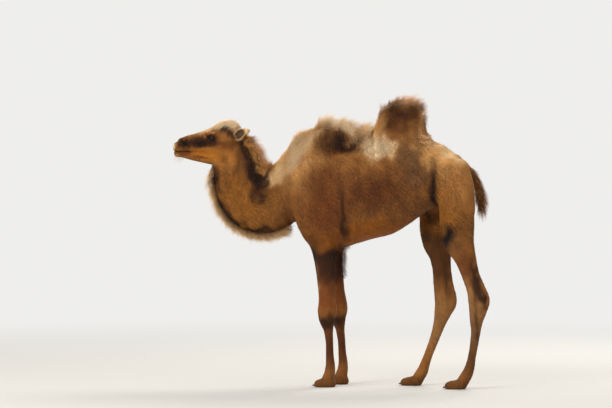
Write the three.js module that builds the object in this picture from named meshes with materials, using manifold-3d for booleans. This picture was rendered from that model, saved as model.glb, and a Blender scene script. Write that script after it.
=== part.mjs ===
// A young two-humped camel standing still, life size, in millimetres.
// +Z is up, the head points along -X and the animal's left side faces -Y.
// The origin is on the floor, under the middle of the animal's box.
//
// The whole body is one smooth field: tubes with oval sections and egg-shaped muscles that melt
// into each other. The field is negative inside and zero at the tips of the short coat. Longer
// hair adds masses of its own. Each named piece is that field meshed at its own cell size, then
// trimmed by flat planes that leave a thin gap to the next piece.
import * as THREE from 'three';
import { mergeVertices } from 'three/addons/utils/BufferGeometryUtils.js';
import Module from 'manifold-3d';

// ---------------------------------------------------------------- driving dimensions

const CENTRE_X = 2;          // middle of the animal's length, taken off every X at the end
const GAP = 0.3;             // free space between two neighbouring pieces

// Trunk, front to rear: [x, top, bottom, half width]
const TRUNK = [
  [-250, 1500, 1110, 130],
  [-140, 1560, 985, 178],
  [0, 1580, 915, 214],
  [130, 1588, 912, 238],
  [270, 1600, 948, 250],
  [410, 1612, 984, 244],
  [540, 1612, 1062, 222],
  [650, 1596, 1135, 208],
  [740, 1563, 1165, 182],
  [815, 1512, 1185, 140],
];
const TRUNK_TAPER = 0.22;    // share by which the back is narrower than the middle

// Crest over the withers, from the dip of the nape up to the front hump: [x, y, z, deep, wide]
const CREST = [
  [-325, 0, 1360, 66, 80],
  [-255, 0, 1452, 82, 88],
  [-165, 0, 1540, 98, 96],
  [-50, 0, 1582, 100, 104],
  [60, 0, 1590, 92, 100],
];

// Humps, front to rear: [x, top, bottom, half width]
const HUMP_FRONT = [
  [-110, 1640, 1450, 90],
  [-50, 1688, 1440, 118],
  [20, 1712, 1430, 132],
  [90, 1708, 1430, 130],
  [160, 1686, 1440, 112],
  [225, 1662, 1460, 84],
];
const HUMP_REAR = [
  [272, 1640, 1470, 70],
  [300, 1720, 1460, 92],
  [330, 1780, 1450, 108],
  [370, 1808, 1440, 122],
  [450, 1830, 1430, 132],
  [520, 1832, 1430, 128],
  [570, 1806, 1430, 112],
  [605, 1740, 1440, 96],
  [630, 1650, 1470, 78],
];
const HUMP_TAPER = 0.34;

// Neck, head to chest, hanging in a deep curve: [x, y, z, deep, wide]
const NECK = [
  [-690, 0, 1590, 108, 66],
  [-652, 0, 1512, 152, 76],
  [-622, 0, 1422, 178, 84],
  [-602, 0, 1338, 198, 92],
  [-560, 0, 1262, 220, 99],
  [-488, 0, 1208, 230, 106],
  [-395, 0, 1206, 218, 116],
  [-300, 0, 1264, 196, 130],
  [-190, 0, 1300, 200, 150],
];
const NECK_TAPER = 0.3;      // share by which the nape is thinner than the middle

// Upper face, muzzle to forehead, and lower jaw, lip to cheek: [x, top, bottom, half width]
const FACE = [
  [-1036, 1590, 1522, 34],
  [-1012, 1612, 1516, 42],
  [-965, 1631, 1510, 45],
  [-915, 1643, 1506, 47],
  [-860, 1662, 1500, 56],
  [-800, 1682, 1492, 70],
  [-740, 1704, 1490, 78],
  [-680, 1712, 1500, 78],
];
const JAW = [
  [-1030, 1519, 1487, 22],
  [-985, 1524, 1476, 29],
  [-930, 1532, 1461, 33],
  [-870, 1540, 1448, 40],
  [-810, 1552, 1436, 52],
  [-745, 1566, 1436, 64],
  [-690, 1574, 1456, 68],
];

// Muscles and bones that stand out from those masses: middle, half sizes, how softly they melt
// in, and their turn in the side view in radians. Those off the middle are for the right side.
const BREAST_PAD = { at: [20, 0, 945], radii: [110, 88, 52], blend: 50 };
const BRAINCASE = { at: [-690, 0, 1620], radii: [98, 74, 92], blend: 40 };
const LOWER_LIP = { at: [-1029, 0, 1503], radii: [31, 25, 18.5], blend: 10 };
const PAIRED_ON_HEAD = {
  cheek: { at: [-742, 50, 1530], radii: [76, 28, 66], blend: 30, tilt: -0.4 },
  brow: { at: [-790, 60, 1639], radii: [52, 22, 18], blend: 30, tilt: -0.12 },
  cheekbone: { at: [-850, 44, 1585], radii: [60, 16, 14], blend: 20, tilt: -0.2 },
  nostrilWing: { at: [-994, 30, 1586], radii: [34, 20, 27], blend: 16, tilt: -0.3 },
  upperLip: { at: [-1030, 16, 1543], radii: [30, 22, 27], blend: 10 },
};

// Legs, top to floor, for the left side: [x, y, z, deep, wide]. Deep is half the width seen from
// the side and wide is half the width seen from the front.
const FORELEG = [
  [-55, -132, 1400, 100, 62],
  [-75, -143, 1260, 142, 80],
  [-68, -148, 1130, 158, 86],
  [-44, -150, 1020, 138, 80],
  [-22, -147, 920, 95, 68],
  [-14, -144, 810, 72, 56],
  [-8, -141, 700, 62, 49],
  [-3, -138, 600, 57, 45],
  [2, -137, 545, 61, 48],
  [1, -136, 490, 66, 52],
  [1, -135, 430, 52, 48],
  [9, -134, 360, 33, 36],
  [15, -133, 290, 28, 30],
  [17, -132, 205, 29, 30],
  [20, -131, 140, 33, 38],
  [17, -131, 95, 37, 46],
  [8, -131, 62, 40, 46],
];
const HIND_LEFT = [
  [815, -92, 1420, 105, 78],
  [832, -116, 1290, 128, 88],
  [846, -130, 1150, 124, 84],
  [850, -136, 1030, 121, 76],
  [866, -138, 935, 104, 62],
  [905, -138, 830, 74, 50],
  [940, -138, 720, 62, 41],
  [971, -137, 640, 66, 37],
  [990, -136, 570, 74, 42],
  [984, -135, 505, 62, 44],
  [974, -134, 440, 47, 40],
  [970, -133, 375, 35, 33],
  [959, -132, 290, 30, 30],
  [943, -131, 200, 29, 31],
  [930, -131, 140, 34, 38],
  [913, -131, 95, 38, 46],
  [893, -131, 62, 40, 46],
];
const HIND_RIGHT = [
  [800, 92, 1420, 110, 78],
  [775, 116, 1290, 138, 88],
  [718, 130, 1165, 152, 84],
  [678, 136, 1040, 134, 76],
  [672, 138, 935, 104, 62],
  [693, 138, 840, 76, 50],
  [705, 138, 740, 66, 42],
  [716, 137, 640, 72, 38],
  [730, 136, 550, 77, 42],
  [713, 135, 485, 62, 44],
  [692, 134, 415, 45, 40],
  [672, 133, 350, 37, 33],
  [649, 132, 285, 33, 30],
  [616, 131, 200, 31, 31],
  [594, 131, 140, 34, 38],
  [578, 131, 95, 38, 46],
  [558, 131, 62, 40, 46],
];
// How far back the right foreleg stands from the left one: [z, shift]
const FORELEG_SET_BACK = [
  [60, 30],
  [140, 30],
  [450, 16],
  [600, 10],
  [850, -14],
  [1100, 0],
  [1400, 0],
];

// Feet: two toes on a broad pad. X is given from the leg's last station.
const SOLE_LEVEL = 0;
const PAD = { ahead: { front: 10, hind: 42 }, length: 62, wide: 54, high: 40, z: 21, blend: 24 };
const TOE = { beyondPad: 32, apart: 28, length: 50, wide: 28, high: 36, z: 20, blend: 8 };
const NAIL = { beyondPad: 76, apart: 30, length: 17, wide: 12, high: 13, z: 16 };

// Ears, eyes and tail
const EAR = { base: [-640, 62, 1602], length: 128, wide: 31, thick: 9, hollow: 0.6 };
const EAR_LEAN = {                                      // the way each ear points
  left: { back: 0.76, up: 0.5, out: 0.42 },
  right: { back: 0.36, up: 0.52, out: 0.78 },
};
const EAR_ACROSS = { back: 0.6, up: -0.75, out: 0.1 };  // the way its leaf is broad
const EYE = { at: [-779, 70, 1612], radius: 21.5, play: 0.3, slices: 10, rings: 7 };
const TAIL = [
  [835, 0, 1446, 42, 42],
  [878, 0, 1424, 30, 30],
  [920, 0, 1385, 25, 25],
  [957, 0, 1322, 21, 21],
  [980, 0, 1240, 18, 18],
  [986, 0, 1170, 15, 15],
];

// Long hair, as masses round the hair: [x, y, z, deep, wide]
const FRINGE = [
  [-798, 0, 1396, 26, 30],
  [-815, 0, 1345, 36, 38],
  [-815, 0, 1290, 40, 42],
  [-802, 0, 1225, 40, 42],
  [-770, 0, 1145, 40, 44],
  [-718, 0, 1078, 40, 46],
  [-648, 0, 1024, 40, 48],
  [-565, 0, 987, 38, 48],
  [-475, 0, 977, 36, 48],
  [-380, 0, 986, 32, 46],
  [-336, 0, 1004, 28, 42],
];
const TAIL_HAIR = [
  [905, 0, 1400, 24, 26],
  [952, 0, 1336, 32, 30],
  [980, 0, 1262, 40, 34],
  [990, 0, 1190, 40, 36],
  [987, 0, 1125, 34, 32],
  [978, 0, 1090, 20, 20],
];
const MANE = [
  [-585, 0, 1618, 40, 44],
  [-540, 0, 1592, 44, 46],
  [-505, 0, 1548, 46, 46],
  [-480, 0, 1490, 44, 44],
  [-452, 0, 1445, 32, 36],
];
const CROWN_TUFT = [
  [-752, 0, 1690, 28, 42],
  [-705, 0, 1706, 32, 50],
  [-655, 0, 1696, 30, 50],
  [-618, 0, 1672, 24, 44],
];
const FRONT_TUFT = [
  [-20, 0, 1670, 62, 66],
  [-50, 0, 1718, 44, 46],
  [-66, 0, 1758, 14, 16],
];
const REAR_TOP_TUFT = [
  [478, 0, 1780, 76, 60],
  [484, 0, 1832, 52, 44],
  [486, 0, 1880, 12, 12],
];
const REAR_BACK_TUFT = [
  [530, 0, 1792, 48, 52],
  [600, 0, 1784, 36, 42],
  [652, 0, 1776, 12, 16],
];
const ELBOW_TUFT = [
  [22, -118, 935, 36, 34],
  [52, -112, 880, 46, 28],
  [60, -110, 820, 40, 24],
  [44, -114, 762, 26, 20],
];

// ---------------------------------------------------------------- fields

// Fills in a smooth curve between the rows of a table, with the slope at each row taken from
// its neighbours. The first and third numbers of a row are its place seen from the side.
function smoothRows(rows, steps) {
  const spans = rows.slice(1).map((row, i) => Math.hypot(row[0] - rows[i][0], row[2] - rows[i][2]));
  const slope = (i, c) => {
    const before = Math.max(i - 1, 0);
    const after = Math.min(i + 1, rows.length - 1);
    const span = spans.slice(before, after).reduce((sum, s) => sum + s, 0);
    return (rows[after][c] - rows[before][c]) / span;
  };
  const out = [];
  for (let i = 0; i + 1 < rows.length; i += 1) {
    const last = i + 2 === rows.length;
    for (let k = 0; k < steps + (last ? 1 : 0); k += 1) {
      const t = k / steps;
      const startWeight = (1 + 2 * t) * (1 - t) ** 2;
      const startSlope = t * (1 - t) ** 2 * spans[i];
      const endSlope = t ** 2 * (t - 1) * spans[i];
      out.push(rows[i].map((value, c) => startWeight * value + (1 - startWeight) * rows[i + 1][c]
        + startSlope * slope(i, c) + endSlope * slope(i + 1, c)));
    }
  }
  return out;
}

// Distance to an oval, near its surface: how far past 1 the scaled length is, over its slope.
function ovalDistance(offsets, radii, power = 2) {
  let sum = 0;
  let slope = 0;
  for (let i = 0; i < offsets.length; i += 1) {
    const share = Math.abs(offsets[i]) / radii[i];
    sum += share ** power;
    slope += (share ** (power - 1) / radii[i]) ** 2;
  }
  const scaled = Math.max(sum ** (1 / power), 1e-6);
  return (scaled - 1) / Math.max(scaled ** (1 - power) * Math.sqrt(slope), 1e-6);
}

function boxAround(rows, spare) {
  const box = { low: [Infinity, Infinity, Infinity], high: [-Infinity, -Infinity, -Infinity] };
  for (const row of rows) {
    const reach = [row[3], row[4] * 1.5, row[3]];
    for (let c = 0; c < 3; c += 1) {
      box.low[c] = Math.min(box.low[c], row[c] - reach[c] - spare);
      box.high[c] = Math.max(box.high[c], row[c] + reach[c] + spare);
    }
  }
  return box;
}

// A tube with an oval section along a curve that is seen from the side. Its section is thinner on
// the side above the curve, or behind a curve that runs down, by the share in taper.
function tube(rows, blend, { taper = 0, power = 2, cap = 0.8, steps = 4 } = {}) {
  const path = smoothRows(rows, steps);
  const count = path.length - 1;
  const field = (x, y, z) => {
    let nearest = Infinity;
    let found = 0;
    let share = 0;
    for (let i = 0; i < count; i += 1) {
      const alongX = path[i + 1][0] - path[i][0];
      const alongZ = path[i + 1][2] - path[i][2];
      const raw = ((x - path[i][0]) * alongX + (z - path[i][2]) * alongZ) / (alongX ** 2 + alongZ ** 2);
      const t = Math.min(Math.max(raw, 0), 1);
      const gap = (x - path[i][0] - t * alongX) ** 2 + (z - path[i][2] - t * alongZ) ** 2;
      if (gap < nearest) {
        nearest = gap;
        found = i;
        share = t;
      }
    }
    const start = path[found];
    const end = path[found + 1];
    const [atX, atY, atZ, deep, wide] = start.map((value, c) => value + share * (end[c] - value));
    const length = Math.hypot(end[0] - start[0], end[2] - start[2]);
    const unitX = (end[0] - start[0]) / length;
    const unitZ = (end[2] - start[2]) / length;
    let side = unitX * (z - atZ) - unitZ * (x - atX);
    let past = 0;
    if ((found === 0 && share === 0) || (found === count - 1 && share === 1)) {
      past = unitX * (x - atX) + unitZ * (z - atZ);
    } else {
      side = Math.sign(side) * Math.sqrt(nearest);
    }
    const lean = Math.min(Math.max(side / deep, -1), 1);
    const across = wide * (1 - taper * lean);
    return ovalDistance([side, y - atY, past], [deep, across, cap * Math.min(deep, wide)], power);
  };
  return { field, blend, box: boxAround(rows, blend + 60) };
}

// A mass that runs level, cut square across: each row is [x, top, bottom, half width].
function levelTube(rows, blend, { taper = 0, power = 2, cap = 0.8 } = {}) {
  const sections = rows.map(([x, top, bottom, wide]) => (
    [x, 0, 0, (top + bottom) / 2, (top - bottom) / 2, wide]
  ));
  const steps = smoothRows(sections, 6);
  const first = steps[0][0];
  const last = steps[steps.length - 1][0];
  const scaled = (x, y, z) => {
    const atX = Math.min(Math.max(x, first), last);
    const found = Math.max(steps.findIndex((row) => row[0] >= atX), 1);
    const share = (atX - steps[found - 1][0]) / (steps[found][0] - steps[found - 1][0]);
    const [, , , middle, high, wide] = steps[found].map((value, c) => (
      steps[found - 1][c] + share * (value - steps[found - 1][c])
    ));
    const lean = Math.min(Math.max((z - middle) / high, -1), 1);
    const across = wide * (1 - taper * lean);
    const shares = [(z - middle) / high, y / across, (x - atX) / (cap * Math.min(high, wide))];
    return shares.reduce((sum, value) => sum + Math.abs(value) ** power, 0) ** (1 / power);
  };
  const field = (x, y, z) => {
    const here = scaled(x, y, z);
    const slope = Math.hypot(
      scaled(x + 1, y, z) - scaled(x - 1, y, z),
      scaled(x, y + 1, z) - scaled(x, y - 1, z),
      scaled(x, y, z + 1) - scaled(x, y, z - 1),
    ) / 2;
    return (here - 1) / Math.max(slope, 1e-3);
  };
  const outline = rows.map(([x, top, bottom, wide]) => [x, 0, (top + bottom) / 2, (top - bottom) / 2, wide]);
  return { field, blend, box: boxAround(outline, blend + 60) };
}

// An egg-shaped mass, turned in the side view by tilt radians.
function egg({ at, radii, blend, tilt = 0 }) {
  const cos = Math.cos(tilt);
  const sin = Math.sin(tilt);
  const field = (x, y, z) => {
    const dx = x - at[0];
    const dz = z - at[2];
    return ovalDistance([cos * dx + sin * dz, y - at[1], cos * dz - sin * dx], radii);
  };
  const reach = Math.max(...radii);
  return { field, blend, box: boxAround([[...at, reach, reach]], blend + 60) };
}

const mirrorRows = (rows) => rows.map(([x, y, z, deep, wide]) => [x, -y, z, deep, wide]);

function bothSides(make) {
  return [-1, 1].flatMap((side) => make(side));
}

// The same egg on the given side.
const sided = (lump, side) => ({ ...lump, at: [lump.at[0], side * lump.at[1], lump.at[2]] });

// The value at z of a table of [z, value] rows.
function tableAt(rows, z) {
  for (let i = 0; i + 1 < rows.length; i += 1) {
    if (z <= rows[i + 1][0]) {
      const t = Math.max((z - rows[i][0]) / (rows[i + 1][0] - rows[i][0]), 0);
      return rows[i][1] + t * (rows[i + 1][1] - rows[i][1]);
    }
  }
  return rows[rows.length - 1][1];
}

const FORELEG_RIGHT = mirrorRows(FORELEG).map(([x, y, z, deep, wide]) => (
  [x + tableAt(FORELEG_SET_BACK, z), y, z, deep, wide]
));
const LEGS = {
  front_leg_left: FORELEG,
  front_leg_right: FORELEG_RIGHT,
  hind_leg_left: HIND_LEFT,
  hind_leg_right: HIND_RIGHT,
};

// One foot: a broad pad with two toes in front, under the last station of the leg.
function footPlace(leg, kind) {
  const [x, y] = leg[leg.length - 1];
  return [x - PAD.ahead[kind], y];
}

function foot([title, leg]) {
  const [x, y] = footPlace(leg, title.split('_')[0]);
  const pad = egg({ at: [x, y, PAD.z], radii: [PAD.length, PAD.wide, PAD.high], blend: PAD.blend });
  const toes = bothSides((side) => egg({
    at: [x - TOE.beyondPad, y + side * TOE.apart, TOE.z],
    radii: [TOE.length, TOE.wide, TOE.high],
    blend: TOE.blend,
  }));
  return [pad, ...toes];
}

const flesh = [
  levelTube(TRUNK, 60, { taper: TRUNK_TAPER, power: 2.2, cap: 0.45 }),
  tube(CREST, 60),
  levelTube(HUMP_FRONT, 50, { taper: HUMP_TAPER, cap: 0.4 }),
  levelTube(HUMP_REAR, 50, { taper: HUMP_TAPER, power: 2.4, cap: 0.3 }),
  egg(BREAST_PAD),
  tube(NECK, 60, { taper: NECK_TAPER, power: 2.1 }),
  levelTube(FACE, 24, { taper: 0.18, power: 2.3, cap: 0.7 }),
  levelTube(JAW, 16, { taper: 0, power: 2.2, cap: 0.7 }),
  egg(BRAINCASE),
  ...bothSides((side) => Object.values(PAIRED_ON_HEAD).map((lump) => egg(sided(lump, side)))),
  egg(LOWER_LIP),
  tube(FORELEG, 46),
  tube(FORELEG_RIGHT, 46),
  tube(HIND_LEFT, 46),
  tube(HIND_RIGHT, 46),
  ...Object.entries(LEGS).flatMap(foot),
  tube(TAIL, 20),
];
const hair = [
  tube(FRINGE, 16),
  tube(MANE, 30),
  tube(TAIL_HAIR, 14),
  tube(CROWN_TUFT, 24),
  tube(FRONT_TUFT, 30),
  tube(REAR_TOP_TUFT, 30),
  tube(REAR_BACK_TUFT, 24),
  tube(ELBOW_TUFT, 16),
  tube(mirrorRows(ELBOW_TUFT), 16),
];

const inBox = (box, p) => p.every((value, c) => value > box.low[c] && value < box.high[c]);

function smoothMin(a, b, blend) {
  const near = Math.max(blend - Math.abs(a - b), 0) / blend;
  return Math.min(a, b) - near ** 2 * blend / 4;
}

// Signed distance, in millimetres, to the outside of the coat.
function coatField(x, y, z) {
  let value = 200;
  for (const mass of [...flesh, ...hair]) {
    if (inBox(mass.box, [x, y, z])) {
      value = smoothMin(value, mass.field(x, y, z), mass.blend);
    }
  }
  return Math.max(value, SOLE_LEVEL - z);
}

// ---------------------------------------------------------------- meshing

// Planes are { at, out }: the piece is kept on the side away from out.
const plane = (at, out) => ({ at: new THREE.Vector3(...at), out: new THREE.Vector3(...out).normalize() });
const flipped = ({ at, out }) => ({ at, out: out.clone().negate() });
const beyond = ({ at, out }, x, y, z) => (x - at.x) * out.x + (y - at.y) * out.y + (z - at.z) * out.z;

// A closed net of quads round the negative cells of a field in a box of cells, with one corner
// in every cell that the surface crosses.
function netOf(field, low, high, cell) {
  const size = [0, 1, 2].map((c) => Math.ceil((high[c] - low[c]) / cell[c]) + 1);
  const at = (i, c) => low[c] + i * cell[c];
  const index = (i, j, k) => (k * size[1] + j) * size[0] + i;
  const values = new Float64Array(size[0] * size[1] * size[2]);
  for (let k = 0; k < size[2]; k += 1) {
    for (let j = 0; j < size[1]; j += 1) {
      for (let i = 0; i < size[0]; i += 1) {
        const edge = [i, j, k].some((step, c) => step === 0 || step === size[c] - 1);
        values[index(i, j, k)] = edge ? 1 : field(at(i, 0), at(j, 1), at(k, 2));
      }
    }
  }
  const corners = [0, 1, 2, 3, 4, 5, 6, 7].map((n) => [n & 1, (n >> 1) & 1, (n >> 2) & 1]);
  const apart = (p, q) => Math.abs(p[0] - q[0]) + Math.abs(p[1] - q[1]) + Math.abs(p[2] - q[2]);
  const edges = corners.flatMap((a, m) => corners.slice(m + 1)
    .filter((b) => apart(a, b) === 1)
    .map((b) => [a, b]));
  const points = [];
  const cornerOf = new Int32Array(values.length).fill(-1);
  for (let k = 0; k + 1 < size[2]; k += 1) {
    for (let j = 0; j + 1 < size[1]; j += 1) {
      for (let i = 0; i + 1 < size[0]; i += 1) {
        const sum = [0, 0, 0];
        let crossings = 0;
        for (const [a, b] of edges) {
          const va = values[index(i + a[0], j + a[1], k + a[2])];
          const vb = values[index(i + b[0], j + b[1], k + b[2])];
          if ((va < 0) !== (vb < 0)) {
            const t = va / (va - vb);
            for (let c = 0; c < 3; c += 1) {
              sum[c] += a[c] + t * (b[c] - a[c]);
            }
            crossings += 1;
          }
        }
        if (crossings > 0) {
          cornerOf[index(i, j, k)] = points.length;
          points.push(sum.map((s, c) => at([i, j, k][c] + s / crossings, c)));
        }
      }
    }
  }
  const quads = [];
  const steps = [1, size[0], size[0] * size[1]];
  for (let k = 1; k + 1 < size[2]; k += 1) {
    for (let j = 1; j + 1 < size[1]; j += 1) {
      for (let i = 1; i + 1 < size[0]; i += 1) {
        const here = index(i, j, k);
        for (let c = 0; c < 3; c += 1) {
          const inside = values[here] < 0;
          if (inside !== (values[here + steps[c]] < 0)) {
            const u = steps[(c + 1) % 3];
            const v = steps[(c + 2) % 3];
            const ring = [here, here - u, here - u - v, here - v].map((n) => cornerOf[n]);
            quads.push(inside ? ring : ring.reverse());
          }
        }
      }
    }
  }
  return { points, quads };
}

// Moves a point along the field's slope until the field there is zero.
function pulledOnto(field, point) {
  const step = 0.5;
  let [x, y, z] = point;
  for (let round = 0; round < 4; round += 1) {
    const value = field(x, y, z);
    const slope = [
      (field(x + step, y, z) - field(x - step, y, z)) / (2 * step),
      (field(x, y + step, z) - field(x, y - step, z)) / (2 * step),
      (field(x, y, z + step) - field(x, y, z - step)) / (2 * step),
    ];
    const scale = value / Math.max(slope[0] ** 2 + slope[1] ** 2 + slope[2] ** 2, 0.2);
    x -= slope[0] * scale;
    y -= slope[1] * scale;
    z -= slope[2] * scale;
  }
  return [x, y, z];
}

const wasm = await Module();
wasm.setup();

function solidOf(geometry) {
  const bare = geometry.index ? geometry.clone() : geometry;
  bare.deleteAttribute('normal');
  bare.deleteAttribute('uv');
  const merged = mergeVertices(bare, 1e-4);
  return new wasm.Manifold(new wasm.Mesh({
    numProp: 3,
    vertProperties: new Float32Array(merged.attributes.position.array),
    triVerts: new Uint32Array(merged.index.array),
  }));
}

const PINCH = 0.05;          // how far two skins that touch at a corner are drawn apart

// A solid's triangles as a geometry. Corners that two skins share are drawn into the body.
function geometryOf(solid) {
  const mesh = solid.getMesh();
  const geometry = new THREE.BufferGeometry();
  const position = new THREE.BufferAttribute(new Float32Array(mesh.vertProperties), 3);
  geometry.setAttribute('position', position);
  geometry.setIndex(new THREE.BufferAttribute(new Uint32Array(mesh.triVerts), 1));
  geometry.computeVertexNormals();
  const { normal } = geometry.attributes;
  const places = new Map();
  for (let n = 0; n < position.count; n += 1) {
    const place = [position.getX(n), position.getY(n), position.getZ(n)];
    const key = place.map((value) => value.toFixed(2)).join();
    places.set(key, [...(places.get(key) ?? []), n]);
  }
  for (const shared of [...places.values()].filter((group) => group.length > 1)) {
    for (const n of shared) {
      position.setXYZ(
        n,
        position.getX(n) - PINCH * normal.getX(n),
        position.getY(n) - PINCH * normal.getY(n),
        position.getZ(n) - PINCH * normal.getZ(n),
      );
    }
  }
  geometry.deleteAttribute('normal');
  return geometry;
}

// Leaves out the crumbs that a cut can leave beside the piece.
function largestBody(solid) {
  return solid.decompose().sort((a, b) => b.volume() - a.volume())[0];
}

const FAR = 4000;

// A block that fills everything beyond a plane, moved back by spare.
function blockBeyond({ at, out }, spare) {
  const block = new THREE.BoxGeometry(FAR, FAR, FAR);
  const turn = new THREE.Quaternion().setFromUnitVectors(new THREE.Vector3(0, 0, 1), out);
  const middle = at.clone().addScaledVector(out, FAR / 2 + spare);
  block.applyMatrix4(new THREE.Matrix4().compose(middle, turn, new THREE.Vector3(1, 1, 1)));
  return solidOf(block);
}

// The solid inside a set of planes, grown by spare.
function roomInside(planes, spare) {
  const all = solidOf(new THREE.BoxGeometry(FAR, FAR, FAR));
  return planes.reduce((room, wall) => room.subtract(blockBeyond(wall, spare)), all);
}

// One piece of the body: the field meshed inside a box, trimmed by planes, less some rooms.
function bodySolid({ low, high, cell, planes, without = [] }) {
  const margin = 1.3 * Math.max(...cell);
  const boxWalls = [0, 1, 2].flatMap((c) => {
    const axis = [0, 1, 2].map((n) => (n === c ? 1 : 0));
    return [plane(high, axis), plane(low, axis.map((value) => -value))];
  });
  const limit = (x, y, z) => Math.max(
    ...planes.map((wall) => beyond(wall, x, y, z) - margin),
    ...boxWalls.map((wall) => beyond(wall, x, y, z)),
  );
  const bounded = (x, y, z) => Math.max(coatField(x, y, z), limit(x, y, z));
  const netLow = low.map((value) => value - margin);
  const netHigh = high.map((value) => value + margin);
  const { points, quads } = netOf(bounded, netLow, netHigh, cell);
  const placed = points.map((p) => (limit(...p) < -margin * 0.4 ? pulledOnto(coatField, p) : p));
  for (const p of placed) {
    if (p[2] < SOLE_LEVEL + 1) {
      p[2] = SOLE_LEVEL;
    }
  }
  const triangles = quads.flatMap(([a, b, c, d]) => {
    const span = (m, n) => Math.hypot(...placed[m].map((value, i) => value - placed[n][i]));
    return span(a, c) < span(b, d) ? [a, b, c, a, c, d] : [a, b, d, b, c, d];
  });
  const geometry = new THREE.BufferGeometry();
  geometry.setAttribute('position', new THREE.BufferAttribute(new Float32Array(placed.flat()), 3));
  geometry.setIndex(triangles);
  let solid = solidOf(geometry);
  for (const wall of planes) {
    solid = solid.subtract(blockBeyond(wall, -GAP / 2));
  }
  for (const room of without) {
    solid = solid.subtract(room);
  }
  return largestBody(solid);
}

// ---------------------------------------------------------------- where the body is parted

const CUT_HEAD = plane([-675, 0, 1520], [-0.722, 0, 0.692]);
const CUT_NECK = plane([-415, 0, 1440], [-0.792, 0, 0.61]);
const CUT_CHEST = plane([-312, 0, 1200], [-0.995, 0, 0.1]);
const CUT_BACK = plane([0, 0, 1628], [0, 0, 1]);
const CUT_SADDLE = plane([236, 0, 1680], [1, 0, 0]);

const level = (z) => plane([0, 0, z], [0, 0, 1]);
const inwards = (side, y) => plane([0, side * y, 0], [0, -side, 0]);

// Thighs are slabs on the outside of the trunk, from top down to foot.
const THIGH = {
  front: { left: 690, right: 640 },
  slant: { left: 0.06, right: -0.3 },
  top: 1395,
  foot: 1000,
  inside: 42,
};
const FORELEG_ROOM = {
  front: -300,
  top: 985,
  rear: [120, 945],
  rearOut: [0.894, 0.447],
  inside: 62,
  knee: 490,
};
const HIND_ROOM = { front: 440, inside: 26, hock: 560 };
const FETLOCK = 128;
const TAIL_ROOM = { root: [893, 1424], lean: 0.1, half: 41.7, bottom: 1020 };

function thighPlanes(side, name) {
  return [
    plane([THIGH.front[name], 0, THIGH.top], [-1, 0, -THIGH.slant[name]]),
    level(THIGH.top),
    flipped(level(THIGH.foot)),
    inwards(side, THIGH.inside),
  ];
}

function forelegPlanes(side) {
  const { front, top, rear, rearOut, inside } = FORELEG_ROOM;
  return [
    plane([front, 0, 0], [-1, 0, 0]),
    plane([rear[0], 0, rear[1]], [rearOut[0], 0, rearOut[1]]),
    level(top),
    inwards(side, inside),
  ];
}

function hindPlanes(side) {
  return [
    plane([HIND_ROOM.front, 0, 0], [-1, 0, 0]),
    level(THIGH.foot),
    inwards(side, HIND_ROOM.inside),
  ];
}

const tailPlanes = [
  plane([TAIL_ROOM.root[0], 0, TAIL_ROOM.root[1]], [-1, 0, TAIL_ROOM.lean]),
  inwards(-1, -TAIL_ROOM.half),
  inwards(1, -TAIL_ROOM.half),
  flipped(level(TAIL_ROOM.bottom)),
];

// ---------------------------------------------------------------- the pieces

const COAT = '#a8743f';
const DARK_COAT = '#6b4728';
const FACE_COAT = '#8d6238';
const LEG_COAT = '#96704a';
const HORN = '#2e2620';
const EYE_BROWN = '#17100b';

const animal = new THREE.Group();

function addPiece(name, solid, colour, roughness = 0.9) {
  const material = new THREE.MeshStandardMaterial({ color: colour, roughness, metalness: 0 });
  const mesh = new THREE.Mesh(geometryOf(solid), material);
  mesh.name = name;
  mesh.position.x = -CENTRE_X;
  animal.add(mesh);
}

const sides = [['left', -1], ['right', 1]];

// Head, with sockets for the eyes and the ears.
function ballSolid([x, y, z], radius) {
  const ball = new THREE.SphereGeometry(radius, EYE.slices, EYE.rings);
  ball.translate(x, y, z);
  return solidOf(ball);
}

// An ear is a leaf with a hollow front: a lens-shaped section that bends round the hollow.
function earSolid(side, spare) {
  const rings = 6;
  const around = 10;
  const { back, up, out } = side < 0 ? EAR_LEAN.left : EAR_LEAN.right;
  const lean = new THREE.Vector3(back, side * out, up).normalize();
  const across = new THREE.Vector3(EAR_ACROSS.back, side * EAR_ACROSS.out, EAR_ACROSS.up);
  across.addScaledVector(lean, -across.dot(lean)).normalize();
  const front = new THREE.Vector3().crossVectors(lean, across);
  if (front.y * side < 0) {
    front.negate();
  }
  const base = new THREE.Vector3(EAR.base[0], side * EAR.base[1], EAR.base[2]);
  const points = [];
  for (let i = 0; i <= rings; i += 1) {
    const u = i / rings;
    const leaf = EAR.wide * earWidth(u);
    const thick = EAR.thick * (1.6 - u) / 2 + spare;
    const hollow = EAR.hollow * Math.min(u / 0.4, 1);
    for (let j = 0; j < around; j += 1) {
      const angle = 2 * Math.PI * j / around;
      const sidewise = (leaf + spare) * Math.cos(angle);
      const bend = hollow * (sidewise ** 2 / leaf - leaf / 2);
      points.push(base.clone()
        .addScaledVector(lean, u * EAR.length + (i === rings ? spare : 0))
        .addScaledVector(across, sidewise)
        .addScaledVector(front, bend + thick * Math.sin(angle)));
    }
  }
  return solidOf(loftGeometry(points, rings, around));
}

// Half the ear's width at u, from root to tip, as a share of its greatest half width.
function earWidth(u) {
  return 0.52 + 0.48 * Math.sin(Math.PI * Math.min(u / 0.9, 1) ** 0.9) - 0.42 * Math.max(u - 0.72, 0) / 0.28;
}

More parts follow.
